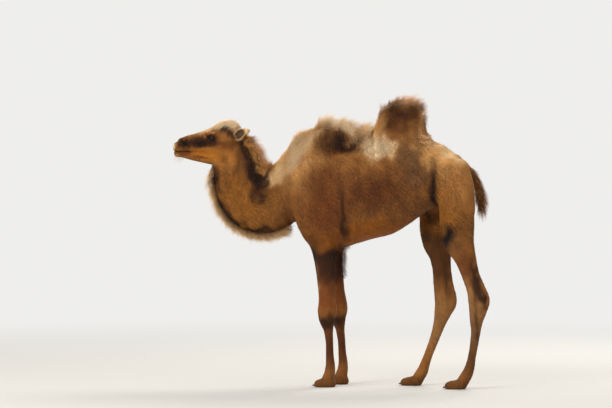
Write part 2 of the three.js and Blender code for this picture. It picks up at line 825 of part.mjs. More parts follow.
// Rings of points joined into a closed skin, with a fan over each end.
function loftGeometry(points, rings, around) {
  const triangles = [];
  for (let i = 0; i < rings; i += 1) {
    for (let j = 0; j < around; j += 1) {
      const a = i * around + j;
      const b = i * around + (j + 1) % around;
      triangles.push(a, b, a + around, b, b + around, a + around);
    }
  }
  const last = rings * around;
  for (let j = 1; j + 1 < around; j += 1) {
    triangles.push(0, j + 1, j, last, last + j, last + j + 1);
  }
  const geometry = new THREE.BufferGeometry();
  const places = new Float32Array(points.flatMap((p) => p.toArray()));
  geometry.setAttribute('position', new THREE.BufferAttribute(places, 3));
  geometry.setIndex(triangles);
  const outward = volumeOf(geometry) > 0;
  if (!outward) {
    geometry.setIndex(triangles.slice().reverse());
  }
  return geometry;
}

function volumeOf(geometry) {
  const { position } = geometry.attributes;
  const corner = (n) => new THREE.Vector3().fromBufferAttribute(position, geometry.index.array[n]);
  let volume = 0;
  for (let n = 0; n < geometry.index.count; n += 3) {
    volume += corner(n).dot(corner(n + 1).cross(corner(n + 2))) / 6;
  }
  return volume;
}

const eyeAt = (side) => [EYE.at[0], side * EYE.at[1], EYE.at[2]];
let head = bodySolid({
  low: [-1100, -120, 1370],
  high: [-520, 120, 1790],
  cell: [30, 26, 27],
  planes: [flipped(CUT_HEAD)],
});
for (const [, side] of sides) {
  head = head.subtract(ballSolid(eyeAt(side), EYE.radius + EYE.play));
  head = head.subtract(earSolid(side, 2 * GAP));
}
addPiece('head', largestBody(head), FACE_COAT);
for (const [name, side] of sides) {
  addPiece(`ear_${name}`, earSolid(side, 0), DARK_COAT);
  addPiece(`eye_${name}`, ballSolid(eyeAt(side), EYE.radius), EYE_BROWN, 0.15);
}

addPiece('neck_upper', bodySolid({
  low: [-900, -170, 1000],
  high: [-360, 170, 1720],
  cell: [50, 37, 50],
  planes: [CUT_HEAD, flipped(CUT_NECK)],
}), COAT);
addPiece('neck_lower', bodySolid({
  low: [-880, -190, 880],
  high: [-220, 190, 1560],
  cell: [54, 42, 54],
  planes: [CUT_NECK, flipped(CUT_CHEST)],
}), COAT);

const rooms = [roomInside(tailPlanes, GAP / 2)];
for (const [name, side] of sides) {
  rooms.push(roomInside(thighPlanes(side, name), GAP / 2));
  rooms.push(roomInside(forelegPlanes(side), GAP / 2));
  rooms.push(roomInside(hindPlanes(side), GAP / 2));
}
addPiece('trunk', bodySolid({
  low: [-420, -360, 800],
  high: [1000, 360, 1740],
  cell: [69, 64, 70],
  planes: [CUT_CHEST, CUT_BACK],
  without: rooms,
}), COAT);
addPiece('hump_front', bodySolid({
  low: [-330, -210, 1540],
  high: [320, 210, 1850],
  cell: [44, 38, 36],
  planes: [flipped(CUT_BACK), CUT_SADDLE],
}), COAT);
addPiece('hump_rear', bodySolid({
  low: [150, -230, 1540],
  high: [780, 230, 1960],
  cell: [42, 36, 40],
  planes: [flipped(CUT_BACK), flipped(CUT_SADDLE)],
}), COAT);
addPiece('tail', bodySolid({
  low: [720, -130, 900],
  high: [1150, 130, 1560],
  cell: [25, 23, 56],
  planes: tailPlanes,
}), COAT);

// Each leg hangs from its shoulder or thigh: upper leg, lower leg, foot and two nails.
function addLeg(kind, name, side, leg, planes, bend) {
  const title = `${kind}_leg_${name}`;
  const xs = leg.map((row) => row[0]);
  const piece = (from, to, cell, walls) => bodySolid({
    low: [Math.min(...xs) - 360, Math.min(side * -80, side * 400), from - 140],
    high: [Math.max(...xs) + 330, Math.max(side * -80, side * 400), to + 140],
    cell,
    planes: walls,
  });
  if (kind === 'hind') {
    addPiece(`${title}_thigh`, piece(THIGH.foot, THIGH.top, [58, 52, 64], thighPlanes(side, name)), COAT);
  }
  const upper = [...planes, flipped(level(bend))];
  addPiece(`${title}_upper`, piece(bend, 1000, [39, 36, 76], upper), DARK_COAT);
  const lower = [level(bend), flipped(level(FETLOCK)), inwards(side, 20)];
  addPiece(`${title}_lower`, piece(FETLOCK, bend, [26, 24, 66], lower), LEG_COAT);
  let paw = piece(0, FETLOCK, [30, 27, 27], [level(FETLOCK), inwards(side, 20)]);
  const [footX, footY] = footPlace(leg, kind);
  for (const [claw, step] of [['outer', side], ['inner', -side]]) {
    const at = [footX - NAIL.beyondPad, footY + step * NAIL.apart, NAIL.z];
    paw = paw.subtract(nailSolid(at, GAP));
    addPiece(`${title}_nail_${claw}`, nailSolid(at, 0), HORN, 0.5);
  }
  addPiece(`${title}_foot`, largestBody(paw), LEG_COAT);
}

// A nail is a bead of horn let into the tip of its toe.
function nailSolid([x, y, z], spare) {
  const bead = new THREE.SphereGeometry(1, 6, 5);
  bead.scale(NAIL.length + spare, NAIL.wide + spare, NAIL.high + spare);
  bead.translate(x, y, z);
  return solidOf(bead);
}

for (const [name, side] of sides) {
  addLeg('front', name, side, LEGS[`front_leg_${name}`], forelegPlanes(side), FORELEG_ROOM.knee);
  addLeg('hind', name, side, LEGS[`hind_leg_${name}`], hindPlanes(side), HIND_ROOM.hock);
}

export default animal;
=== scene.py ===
import bmesh
import bpy
import numpy as np
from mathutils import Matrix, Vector


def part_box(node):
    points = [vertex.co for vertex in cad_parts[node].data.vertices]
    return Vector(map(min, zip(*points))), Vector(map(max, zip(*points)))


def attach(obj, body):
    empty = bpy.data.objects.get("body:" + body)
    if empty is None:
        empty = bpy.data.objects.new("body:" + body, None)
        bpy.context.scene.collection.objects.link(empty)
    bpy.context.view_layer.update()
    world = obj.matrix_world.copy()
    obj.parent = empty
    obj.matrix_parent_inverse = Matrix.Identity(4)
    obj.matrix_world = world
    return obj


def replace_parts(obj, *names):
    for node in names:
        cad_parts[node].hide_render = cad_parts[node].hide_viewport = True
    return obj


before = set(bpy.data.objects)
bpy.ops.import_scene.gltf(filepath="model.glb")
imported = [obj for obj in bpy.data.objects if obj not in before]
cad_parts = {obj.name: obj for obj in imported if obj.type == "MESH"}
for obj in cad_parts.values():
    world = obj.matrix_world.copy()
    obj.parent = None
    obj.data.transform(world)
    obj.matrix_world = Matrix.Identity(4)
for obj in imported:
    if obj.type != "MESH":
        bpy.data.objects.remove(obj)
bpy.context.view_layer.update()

# ---------------------------------------------------------------- the form under the coat
# Bone, muscle and fat give the living animal its form. Here that is one smooth field in
# millimetres: oval tubes and egg-shaped muscles that melt into each other, zero at the tips of
# the short coat and negative inside.
CENTRE_X = 2.0                  # middle of the animal's length, which the frame has at zero
# Level masses, front to rear: x, top, bottom, half width
TRUNK = [(-250, 1500, 1110, 130), (-140, 1560, 985, 178), (0, 1580, 915, 214),
         (130, 1588, 912, 238), (270, 1600, 948, 250), (410, 1612, 984, 244),
         (540, 1612, 1062, 222), (650, 1596, 1135, 208), (740, 1563, 1165, 182),
         (815, 1512, 1185, 140)]
HUMP_FRONT = [(-110, 1640, 1450, 90), (-50, 1688, 1440, 118), (20, 1712, 1430, 132),
              (90, 1708, 1430, 130), (160, 1686, 1440, 112), (225, 1662, 1460, 84)]
HUMP_REAR = [(272, 1640, 1470, 70), (300, 1720, 1460, 92), (330, 1780, 1450, 108),
             (370, 1808, 1440, 122), (450, 1830, 1430, 132), (520, 1832, 1430, 128),
             (570, 1806, 1430, 112), (605, 1740, 1440, 96), (630, 1650, 1470, 78)]
FACE = [(-1036, 1590, 1522, 34), (-1012, 1612, 1516, 42), (-965, 1631, 1510, 45),
        (-915, 1643, 1506, 47), (-860, 1662, 1500, 56), (-800, 1682, 1492, 70),
        (-740, 1704, 1490, 78), (-680, 1712, 1500, 78)]
JAW = [(-1030, 1519, 1487, 22), (-985, 1524, 1476, 29), (-930, 1532, 1461, 33),
       (-870, 1540, 1448, 40), (-810, 1552, 1436, 52), (-745, 1566, 1436, 64),
       (-690, 1574, 1456, 68)]
# Tubes along a curve seen from the side: x, y, z, half depth, half width
CREST = [(-325, 0, 1360, 66, 80), (-255, 0, 1452, 82, 88), (-165, 0, 1540, 98, 96),
         (-50, 0, 1582, 100, 104), (60, 0, 1590, 92, 100)]
NECK = [(-690, 0, 1590, 108, 66), (-652, 0, 1512, 152, 76), (-622, 0, 1422, 178, 84),
        (-602, 0, 1338, 198, 92), (-560, 0, 1262, 220, 99), (-488, 0, 1208, 230, 106),
        (-395, 0, 1206, 218, 116), (-300, 0, 1264, 196, 130), (-190, 0, 1300, 200, 150)]
FORELEG = [(-55, -132, 1400, 100, 62), (-75, -143, 1260, 142, 80), (-68, -148, 1130, 158, 86),
           (-44, -150, 1020, 138, 80), (-22, -147, 920, 95, 68), (-14, -144, 810, 72, 56),
           (-8, -141, 700, 62, 49), (-3, -138, 600, 57, 45), (2, -137, 545, 61, 48),
           (1, -136, 490, 66, 52), (1, -135, 430, 52, 48), (9, -134, 360, 33, 36),
           (15, -133, 290, 28, 30), (17, -132, 205, 29, 30), (20, -131, 140, 33, 38),
           (17, -131, 95, 37, 46), (8, -131, 62, 40, 46)]
HIND_LEFT = [(815, -92, 1420, 105, 78), (832, -116, 1290, 128, 88), (846, -130, 1150, 124, 84),
             (850, -136, 1030, 121, 76), (866, -138, 935, 104, 62), (905, -138, 830, 74, 50),
             (940, -138, 720, 62, 41), (971, -137, 640, 66, 37), (990, -136, 570, 74, 42),
             (984, -135, 505, 62, 44), (974, -134, 440, 47, 40), (970, -133, 375, 35, 33),
             (959, -132, 290, 30, 30), (943, -131, 200, 29, 31), (930, -131, 140, 34, 38),
             (913, -131, 95, 38, 46), (893, -131, 62, 40, 46)]
HIND_RIGHT = [(800, 92, 1420, 110, 78), (775, 116, 1290, 138, 88), (718, 130, 1165, 152, 84),
              (678, 136, 1040, 134, 76), (672, 138, 935, 104, 62), (693, 138, 840, 76, 50),
              (705, 138, 740, 66, 42), (716, 137, 640, 72, 38), (730, 136, 550, 77, 42),
              (713, 135, 485, 62, 44), (692, 134, 415, 45, 40), (672, 133, 350, 37, 33),
              (649, 132, 285, 33, 30), (616, 131, 200, 31, 31), (594, 131, 140, 34, 38),
              (578, 131, 95, 38, 46), (558, 131, 62, 40, 46)]
# How far back the right foreleg stands from the left one: height, shift
SET_BACK = [(60, 30), (140, 30), (450, 16), (600, 10), (850, -14), (1100, 0), (1400, 0)]
TAIL = [(835, 0, 1446, 42, 42), (878, 0, 1424, 30, 30), (920, 0, 1385, 25, 25),
        (957, 0, 1322, 21, 21), (980, 0, 1240, 18, 18), (986, 0, 1170, 15, 15)]
# Muscles and bones that stand out: middle, half sizes, softness, turn in the side view
BREAST_PAD = ((20, 0, 945), (110, 88, 52), 50, 0)
BRAINCASE = ((-690, 0, 1620), (98, 74, 92), 40, 0)
LOWER_LIP = ((-1029, 0, 1503), (31, 25, 18.5), 10, 0)
HEAD_PAIRS = [((-742, 50, 1530), (76, 28, 66), 30, -0.4), ((-790, 60, 1639), (52, 22, 18), 30, -0.12),
              ((-850, 44, 1585), (60, 16, 14), 20, -0.2), ((-994, 30, 1586), (34, 20, 27), 16, -0.3),
              ((-1030, 16, 1543), (30, 22, 27), 10, 0)]
# Feet: a broad pad with two toes before it. The pad's middle is ahead of the last row of its leg,
# and the toes' middles beyond that and apart from the leg's line
PAD = dict(ahead={"front": 10, "hind": 42}, sizes=(62, 54, 40), height=21, blend=24)
TOE = dict(beyond_pad=32, apart=28, sizes=(50, 28, 36), height=20, blend=8)


def smooth_rows(rows, steps):
    """The rows, with steps - 1 more between each two: a cubic through them, whose slope at a row
    is the rise between its two neighbours over their distance in the side view."""
    rows = np.array(rows, float)
    span = np.hypot(*np.diff(rows[:, [0, 2]], axis=0).T)
    before = np.maximum(np.arange(len(rows)) - 1, 0)
    after = np.minimum(np.arange(len(rows)) + 1, len(rows) - 1)
    along = np.concatenate([[0], np.cumsum(span)])
    slope = (rows[after] - rows[before]) / (along[after] - along[before])[:, None]
    t = (np.arange(steps) / steps)[None, :, None]
    start, end, gap = rows[:-1, None], rows[1:, None], span[:, None, None]
    share = (1 + 2 * t) * (1 - t) ** 2
    path = (share * start + (1 - share) * end + t * (1 - t) ** 2 * gap * slope[:-1, None]
            + t ** 2 * (t - 1) * gap * slope[1:, None])
    return np.concatenate([path.reshape(-1, rows.shape[1]), rows[-1:]])


def oval_distance(offsets, radii, power=2.0):
    """About the distance to an oval: k - 1 over the length of k's slope, where k takes each offset
    over its radius to the power, sums them, and takes the root of that power."""
    share = [np.abs(offset) / radius for offset, radius in zip(offsets, radii)]
    k = np.maximum(sum(s ** power for s in share) ** (1 / power), 1e-6)
    slope = k ** (1 - power) * np.sqrt(sum((s ** (power - 1) / r) ** 2 for s, r in zip(share, radii)))
    return (k - 1) / np.maximum(slope, 1e-6)


def nearest_on(path, p, stride=1):
    """For each point, the path's row at the nearest place in the side view, the unit run of the
    path there, the squared distance, -1, 0 or 1 for before, along or past the path, and the row's
    number with its share. Every stride-th row is tried first, then the spans on both sides of it."""
    side_view, line = p[:, [0, 2]], path[:, [0, 2]]
    runs = np.diff(line, axis=0)
    rough = ((side_view[:, None] - line[None, ::stride]) ** 2).sum(2).argmin(1)
    nearest = np.full(len(p), np.inf)
    found = np.zeros(len(p), int)
    share = np.zeros(len(p))
    for step in range(-stride, stride):
        i = np.clip(rough * stride + step, 0, len(runs) - 1)
        run, off = runs[i], side_view - line[i]
        t = np.clip((off * run).sum(1) / (run * run).sum(1), 0, 1)
        gap = ((off - t[:, None] * run) ** 2).sum(1)
        closer = gap < nearest
        nearest[closer], found[closer], share[closer] = gap[closer], i[closer], t[closer]
    row = path[found] + share[:, None] * (path[found + 1] - path[found])
    run = runs[found] / np.linalg.norm(runs[found], axis=1, keepdims=True)
    past = np.where((found == 0) & (share == 0), -1, 0)
    past = np.where((found == len(path) - 2) & (share == 1), 1, past)
    return row, run, nearest, past, found + share


def beside_line(row, run, p):
    """How far each place lies beside a line in the side view, to the left of its run: the cross
    product of the unit run with the way from the row to the place."""
    return run[:, 0] * (p[:, 2] - row[:, 2]) - run[:, 1] * (p[:, 0] - row[:, 0])


def reach_of(rows, blend):
    """The box outside which a mass of these rows has no effect: each row's place and radii, half
    as much again in width, and the blend and 60 more."""
    rows = np.array(rows, float)
    spread = np.stack([rows[:, 3], rows[:, 4] * 1.5, rows[:, 3]], 1) + blend + 60
    return (rows[:, :3] - spread).min(0), (rows[:, :3] + spread).max(0)


def tube(rows, blend, taper=0.0, power=2.0):
    """An oval section carried along a curve, thinner above it by the share taper. Its ends are
    rounded, 0.8 of its lesser radius deep."""
    path = smooth_rows(rows, 10)

    def field(p):
        """The distance to the section's oval at the nearest row, and past the ends to an egg."""
        row, run, nearest, past, _ = nearest_on(path, p, 10)
        side = beside_line(row, run, p)
        beyond = run[:, 0] * (p[:, 0] - row[:, 0]) + run[:, 1] * (p[:, 2] - row[:, 2])
        side = np.where(past == 0, np.sign(side) * np.sqrt(nearest), side)
        beyond = np.where(past == 0, 0, beyond)
        deep, wide = row[:, 3], row[:, 4]
        across = wide * (1 - taper * np.clip(side / deep, -1, 1))
        return oval_distance([side, p[:, 1] - row[:, 1], beyond],
                             [deep, across, 0.8 * np.minimum(deep, wide)], power)
    return field, blend, *reach_of(rows, blend)


def level_tube(rows, blend, cap, taper=0.0, power=2.0):
    """A mass that runs level, whose section is a power oval square to X at every x. Its ends are
    rounded, cap of its lesser radius deep."""
    rows = np.array(rows, float)
    columns = np.stack([rows[:, 0], 0 * rows[:, 0], 0 * rows[:, 0],
                        (rows[:, 1] + rows[:, 2]) / 2, (rows[:, 1] - rows[:, 2]) / 2, rows[:, 3]], 1)
    steps = smooth_rows(columns, 6)

    def scaled(p):
        """The k of oval_distance for the section at x: 1 on the mass, less inside."""
        at = np.clip(p[:, 0], steps[0, 0], steps[-1, 0])
        middle, high, wide = (np.interp(at, steps[:, 0], steps[:, c]) for c in (3, 4, 5))
        up = (p[:, 2] - middle) / high
        across = wide * (1 - taper * np.clip(up, -1, 1))
        shares = [up, p[:, 1] / across, (p[:, 0] - at) / (cap * np.minimum(high, wide))]
        return sum(np.abs(s) ** power for s in shares) ** (1 / power)

    def field(p):
        """Scaled less 1, over the length of its slope, which is found from steps of 1."""
        slopes = [(scaled(p + step) - scaled(p - step)) / 2 for step in np.eye(3)]
        return (scaled(p) - 1) / np.maximum(np.sqrt(sum(s ** 2 for s in slopes)), 1e-3)
    middles = np.stack([rows[:, 0], 0 * rows[:, 0], columns[:, 3], columns[:, 4], rows[:, 3]], 1)
    return field, blend, *reach_of(middles, blend)


def egg(at, radii, blend, tilt=0.0, side=1):
    """An egg-shaped mass with three half sizes, turned by tilt radians in the side view."""
    at = np.array(at, float) * (1, side, 1)

    def field(p):
        """The distance to the egg, from the offsets turned with it."""
        d = p - at
        along = np.cos(tilt) * d[:, 0] + np.sin(tilt) * d[:, 2]
        above = np.cos(tilt) * d[:, 2] - np.sin(tilt) * d[:, 0]
        return oval_distance([along, d[:, 1], above], radii)
    reach = max(radii)
    return field, blend, *reach_of([(*at, reach, reach)], blend)


def foot(leg, kind):
    """A pad and two toes under the last row of a leg."""
    x, y = leg[-1][0] - PAD["ahead"][kind], leg[-1][1]
    toes = [egg((x - TOE["beyond_pad"], y + side * TOE["apart"], TOE["height"]), TOE["sizes"], TOE["blend"])
            for side in (-1, 1)]
    return [egg((x, y, PAD["height"]), PAD["sizes"], PAD["blend"]), *toes]


FORELEG_RIGHT = [(x + np.interp(z, *np.transpose(SET_BACK)), -y, z, *rest)
                 for x, y, z, *rest in FORELEG]
LEGS = {"front_left": FORELEG, "front_right": FORELEG_RIGHT,
        "hind_left": HIND_LEFT, "hind_right": HIND_RIGHT}
flesh = [level_tube(TRUNK, 60, taper=0.22, power=2.2, cap=0.45), tube(CREST, 60),
         level_tube(HUMP_FRONT, 50, taper=0.34, cap=0.4),
         level_tube(HUMP_REAR, 50, taper=0.34, power=2.4, cap=0.3),
         egg(*BREAST_PAD), tube(NECK, 60, taper=0.3, power=2.1),
         level_tube(FACE, 24, taper=0.18, power=2.3, cap=0.7),
         level_tube(JAW, 16, power=2.2, cap=0.7), egg(*BRAINCASE),
         *[egg(*lump, side=side) for side in (-1, 1) for lump in HEAD_PAIRS], egg(*LOWER_LIP),
         *[tube(LEGS[leg], 46) for leg in LEGS],
         *[mass for leg in LEGS for mass in foot(LEGS[leg], leg.split("_")[0])],
         tube(TAIL, 20)]


def smooth_min(a, b, blend):
    """The lesser of two fields, made less still by (blend - gap)^2 / (4 blend) where the gap
    between them is under blend, which rounds the crease."""
    near = np.maximum(blend - np.abs(a - b), 0) / blend
    return np.minimum(a, b) - near ** 2 * blend / 4


def flesh_field(p):
    """Distance in millimetres to the outside of the short coat, negative inside: the masses are
    melted in one after another, each within its reach."""
    value = np.full(len(p), 200.0)
    for field, blend, low, high in flesh:
        near = ((p > low) & (p < high)).all(1)
        if near.any():
            value[near] = smooth_min(value[near], field(p[near]), blend)
    return value

# ---------------------------------------------------------------- skin, with lids and ears
# One hide covers the whole animal, so there are no seams. It lies under the coat by the hair's
# depth: least on the ears, most on the trunk and neck. Folds of the flank and neck, the
# muscles' edges, tendons, the slit nostrils, the split lip and the eyelids are shaped in it.

# The eye: its middle, the radii of ball and lids, half the slit's length, and how far it opens
EYE = dict(at=(-779, 70, 1612), radius=21.5, lid=24.5, half_slit=20.5, up=11.5, down=9.5)
NOSTRIL = (-985, 41, 1588)
# The ear: its root, length, half width and half thickness, how deep its hollow is, the way to its
# tip on each side, and a way across its leaf
EAR = dict(base=(-640, 62, 1602), length=120, wide=31, thick=7.5, hollow=0.62,
           points={-1: (0.76, 0.42, 0.5), 1: (0.36, 0.78, 0.52)}, broad=(0.6, 0.1, -0.75))
# Grooves (depth above 0) and ridges (below 0) drawn in the side view: width, depth, which side of
# the animal (-1 is the left, 1 the right, 0 both), then places x, z
HEAD_LINES = [
    (2.6, 4.0, 0, [(-1070, 1524), (-1040, 1524), (-1009, 1525), (-968, 1520), (-935, 1506), (-908, 1497)]),
    (4.0, 4.5, 0, [(-1016, 1600), (-1000, 1596), (-978, 1582), (-956, 1562), (-944, 1548)]),
    (6.0, 2.2, 0, [(-925, 1500), (-900, 1489), (-871, 1483), (-817, 1476)]),
    (9.0, -2.0, 0, [(-930, 1512), (-890, 1506), (-830, 1492), (-770, 1480)]),
    (12.0, -2.6, 0, [(-838, 1622), (-860, 1590), (-905, 1574), (-950, 1560)]),
    (14.0, 3.0, 0, [(-945, 1612), (-900, 1614), (-850, 1628)]),
    (16.0, 3.4, 0, [(-820, 1560), (-770, 1558), (-700, 1566)]),
    (14.0, 2.2, 0, [(-735, 1452), (-690, 1464), (-655, 1488), (-640, 1530), (-640, 1560)]),
    (14.0, 3.0, 0, [(-765, 1648), (-720, 1640), (-670, 1640)]),
    (3.0, 1.6, 0, [(-806, 1588), (-784, 1582), (-762, 1586), (-745, 1600)]),
    (4.0, 1.6, 0, [(-815, 1622), (-795, 1634), (-766, 1634), (-740, 1620)]),
    (3.0, 1.4, 0, [(-800, 1602), (-815, 1594), (-828, 1580)]),
    (3.0, 1.5, 0, [(-1018, 1570), (-1036, 1556), (-1050, 1545)]),
    (3.2, 1.2, 0, [(-960, 1560), (-945, 1545), (-940, 1528)]),
]
BODY_LINES = [
    (20, 5.0, 0, [(-650, 1450), (-640, 1370), (-612, 1290), (-560, 1215), (-480, 1150), (-400, 1120)]),
    (18, -3.0, 0, [(-615, 1470), (-600, 1380), (-570, 1300), (-510, 1230), (-420, 1190)]),
    (20, 4.0, 0, [(-575, 1530), (-540, 1440), (-520, 1350), (-470, 1285), (-390, 1260)]),
    (22, 9.0, 0, [(-300, 1270), (-290, 1180), (-270, 1100), (-262, 1020)]),
    (34, -7.0, 0, [(-60, 1560), (-120, 1420), (-175, 1290), (-190, 1190)]),
    (26, 6.0, 0, [(-20, 1500), (20, 1400), (70, 1330)]),
    (24, 11.0, 0, [(70, 1350), (96, 1270), (106, 1180), (106, 1090), (116, 1040), (130, 940)]),
    (30, -5.0, 0, [(60, 1240), (55, 1140), (45, 1060)]),
    (22, 5.0, 0, [(-90, 1200), (-20, 1110), (20, 1030)]),
    (24, -5.0, 0, [(655, 1510), (690, 1490), (720, 1470)]),
    (46, 9.0, 0, [(600, 1430), (640, 1400), (670, 1360)]),
    (17, 13.0, -1, [(694, 1390), (700, 1300), (694, 1205), (665, 1140), (625, 1098)]),
    (17, 13.0, 1, [(640, 1390), (610, 1300), (585, 1205), (560, 1140), (530, 1085)]),
    (16, 4.5, -1, [(835, 1380), (850, 1260), (862, 1130), (868, 1010)]),
    (16, 4.5, 1, [(760, 1380), (752, 1260), (728, 1130), (700, 1010)]),
    (20, -3.5, -1, [(800, 1330), (800, 1200), (800, 1080), (820, 980)]),
    (20, -3.5, 1, [(700, 1330), (668, 1200), (640, 1080), (640, 980)]),
    (10, 11.0, -1, [(936, 850), (954, 780), (972, 700), (986, 640), (996, 590)]),
    (10, 11.0, 1, [(724, 840), (734, 770), (740, 690), (744, 620), (742, 570)]),
    (9, 3.5, -1, [(970, 520), (976, 470), (978, 400), (972, 300), (952, 200)]),
    (9, 3.5, 1, [(705, 500), (700, 440), (688, 380), (658, 290), (622, 200)]),
    (9, 3.5, 0, [(36, 590), (40, 520), (42, 450)]),
    (8, 3.0, 0, [(26, 430), (28, 340), (30, 250), (32, 160)]),
    (9, -4.0, 0, [(-46, 478), (-54, 440), (-48, 400), (-34, 376)]),
    (7, 3.0, 0, [(-66, 500), (-40, 512), (0, 520)]),
    (7, 2.5, 0, [(-30, 372), (0, 362), (30, 366)]),
]


def ramp(value, start, end):
    """0 before start, 1 after end, and 3 t^2 - 2 t^3 between, t being the share of the way."""
    t = np.clip((value - start) / (end - start), 0, 1)
    return t * t * (3 - 2 * t)


def lines(p, drawn):
    """The sum over the drawn lines of depth * exp(-(d / width)^2), d being the distance to the
    line in the side view. Each line fades out over its first and last span."""
    total = np.zeros(len(p))
    for width, depth, side, places in drawn:
        path = np.array(places, float)
        near = ((p[:, [0, 2]] > path.min(0) - 3 * width) & (p[:, [0, 2]] < path.max(0) + 3 * width)).all(1)
        near &= p[:, 1] * side >= 0
        if near.any():
            rows = np.stack([path[:, 0], 0 * path[:, 0], path[:, 1]], 1)
            _, _, gap, _, at = nearest_on(rows, p[near])
            fade = ramp(at, -0.2, 0.9) * ramp(len(path) - 1 - at, -0.2, 0.9)
            total[near] += depth * fade * np.exp(-gap / width ** 2)
    return total


def coat_depth(p):
    """Millimetres of coat over the skin: 13 on the trunk and neck, 8 under the long hair of the
    humps and on the croup, 4 to 2 down the legs, 3.5 on the face and 2 on the ears."""
    x, y, z = p.T
    on_head = ramp(-x, 580, 660) * ramp(z, 1400, 1440)
    top = np.maximum(ramp(z, 1580, 1660), ramp(x, 640, 760) * ramp(z, 1400, 1470))
    depth = 13 - 5 * top * (1 - ramp(-x, 300, 400))
    depth = depth + (4 - depth) * ramp(-z, -1050, -860)
    depth = depth + (2.5 - depth) * ramp(-z, -640, -500)
    depth = depth + (2 - depth) * ramp(-z, -160, -90)
    depth = depth + (5 - depth) * ramp(x, 860, 920) * ramp(z, 1100, 1150)
    depth = depth + (3.5 - depth) * on_head
    ear = np.exp(-((x + 590) / 60) ** 2 - ((np.abs(y) - 108) / 46) ** 2 - ((z - 1645) / 60) ** 2)
    return depth + (2 - depth) * np.minimum(1.6 * ear, 1)


def ear_frame(side):
    """The ear's root and its three directions: to the tip, across the leaf, out of its hollow.
    The left ear points back, and the right one is turned out to the side."""
    tip = np.array(EAR["points"][side]) * (1, side, 1)
    tip /= np.linalg.norm(tip)
    across = np.array(EAR["broad"]) * (1, side, 1)
    across -= across @ tip * tip
    across /= np.linalg.norm(across)
    out = np.cross(tip, across)
    return np.array(EAR["base"]) * (1, side, 1), tip, across, out * np.sign(out[1] * side)


def ear_width(u):
    """Half the ear's width from root (0) to tip (1), as a share of its widest: 0.52, and 0.48 of
    a half wave, less up to a tenth over the last 0.28."""
    return (0.52 + 0.48 * np.sin(np.pi * np.minimum(u / 0.95, 1) ** 1.1)
            - 0.1 * (np.maximum(u - 0.72, 0) / 0.28) ** 1.5)


def ear_section(u, sidewise):
    """Half the leaf's width at u, and how far its bent middle line lies out of its plane: hollow *
    (across^2 / half width - half width / 2), the hollow being full from 0.4 of the way up."""
    leaf = EAR["wide"] * ear_width(u)
    hollow = EAR["hollow"] * np.minimum(u / 0.4, 1)
    return leaf, hollow * (np.minimum(np.abs(sidewise), leaf) ** 2 / leaf - leaf / 2)


def ear_field(p, side):
    """About the distance to a leaf, whose section is a flat oval bent round its hollow."""
    base, tip, across, out = ear_frame(side)
    along, sidewise, forward = (p - base) @ tip, (p - base) @ across, (p - base) @ out
    u = np.clip(along / EAR["length"], 0, 1)
    leaf, bend = ear_section(u, sidewise)
    thick = np.maximum(EAR["thick"] * (1.5 - u) / 1.5, 3.4)
    beyond = along - u * EAR["length"]
    return oval_distance([sidewise, forward - bend, beyond], [leaf, thick, 6 + 0 * u], 3.5)


def eye_frame(side):
    """The eye's middle, the way it looks, the way back along its slit, and up."""
    looks = np.array([-0.34, side * 0.93, 0.1])
    looks /= np.linalg.norm(looks)
    back = np.array([0.93, side * 0.34, 0.12])
    back -= back @ looks * looks
    back /= np.linalg.norm(back)
    up = np.cross(looks, back)
    return np.array(EYE["at"]) * (1, side, 1), looks, back, up * np.sign(up[2])


def slit(along, above):
    """Below 0 inside the opening of the lids: two arcs, the upper one higher and fuller."""
    arc = 1 - (along / EYE["half_slit"]) ** 2
    upper = EYE["up"] * arc * (1 + 0.25 * along / EYE["half_slit"])
    return np.maximum(above - upper, -EYE["down"] * arc - above)


def skin_field(p):
    """The flesh less the coat's depth, with the drawn lines, ears and lids. It is zero on the
    skin and negative inside."""
    value = flesh_field(p) + coat_depth(p)
    value += lines(p, BODY_LINES)
    on_head = (p[:, 0] < -560) & (p[:, 2] > 1400)
    head = p[on_head]
    # the nostril is a slit 30 long that slants forwards and up, and a cleft parts the upper lip
    x, y, z = head[:, 0], np.abs(head[:, 1]), head[:, 2]
    from_x, from_y, from_z = x - NOSTRIL[0], y - NOSTRIL[1], z - NOSTRIL[2]
    run = np.clip(0.5 * from_z - 0.86 * from_x, -15, 15)
    off = np.stack([from_x + 0.86 * run, from_y, from_z - 0.5 * run])
    carved = 11 * np.exp(-(off[0] ** 2 + (off[1] / 2) ** 2 + off[2] ** 2) / 4.2 ** 2)
    cleft = 6 * np.exp(-(y / 2.8) ** 2) * ramp(-x, 1020, 1050)
    carved += cleft * ramp(z, 1519, 1530) * ramp(-z, -1592, -1570)
    lips = oval_distance([x + 1044, y, z - 1519], [15, 22, 11])
    value[on_head] = smooth_min(value[on_head], lips, 6) + carved + lines(head, HEAD_LINES)
    for side in (-1, 1):
        base, tip, *_ = ear_frame(side)
        near = np.linalg.norm(p - (base + tip * EAR["length"] / 2), axis=1) < 120
        value[near] = smooth_min(value[near], ear_field(p[near], side), 12)
        middle, looks, back, up = eye_frame(side)
        near = np.linalg.norm(p - middle, axis=1) < 60
        off = p[near] - middle
        lids = np.linalg.norm(off, axis=1) - EYE["lid"]
        opening = np.maximum(slit(off @ back, off @ up), 3 - off @ looks)
        value[near] = -smooth_min(-smooth_min(value[near], lids, 12), opening, 1.5)
    return np.maximum(value, -p[:, 2])


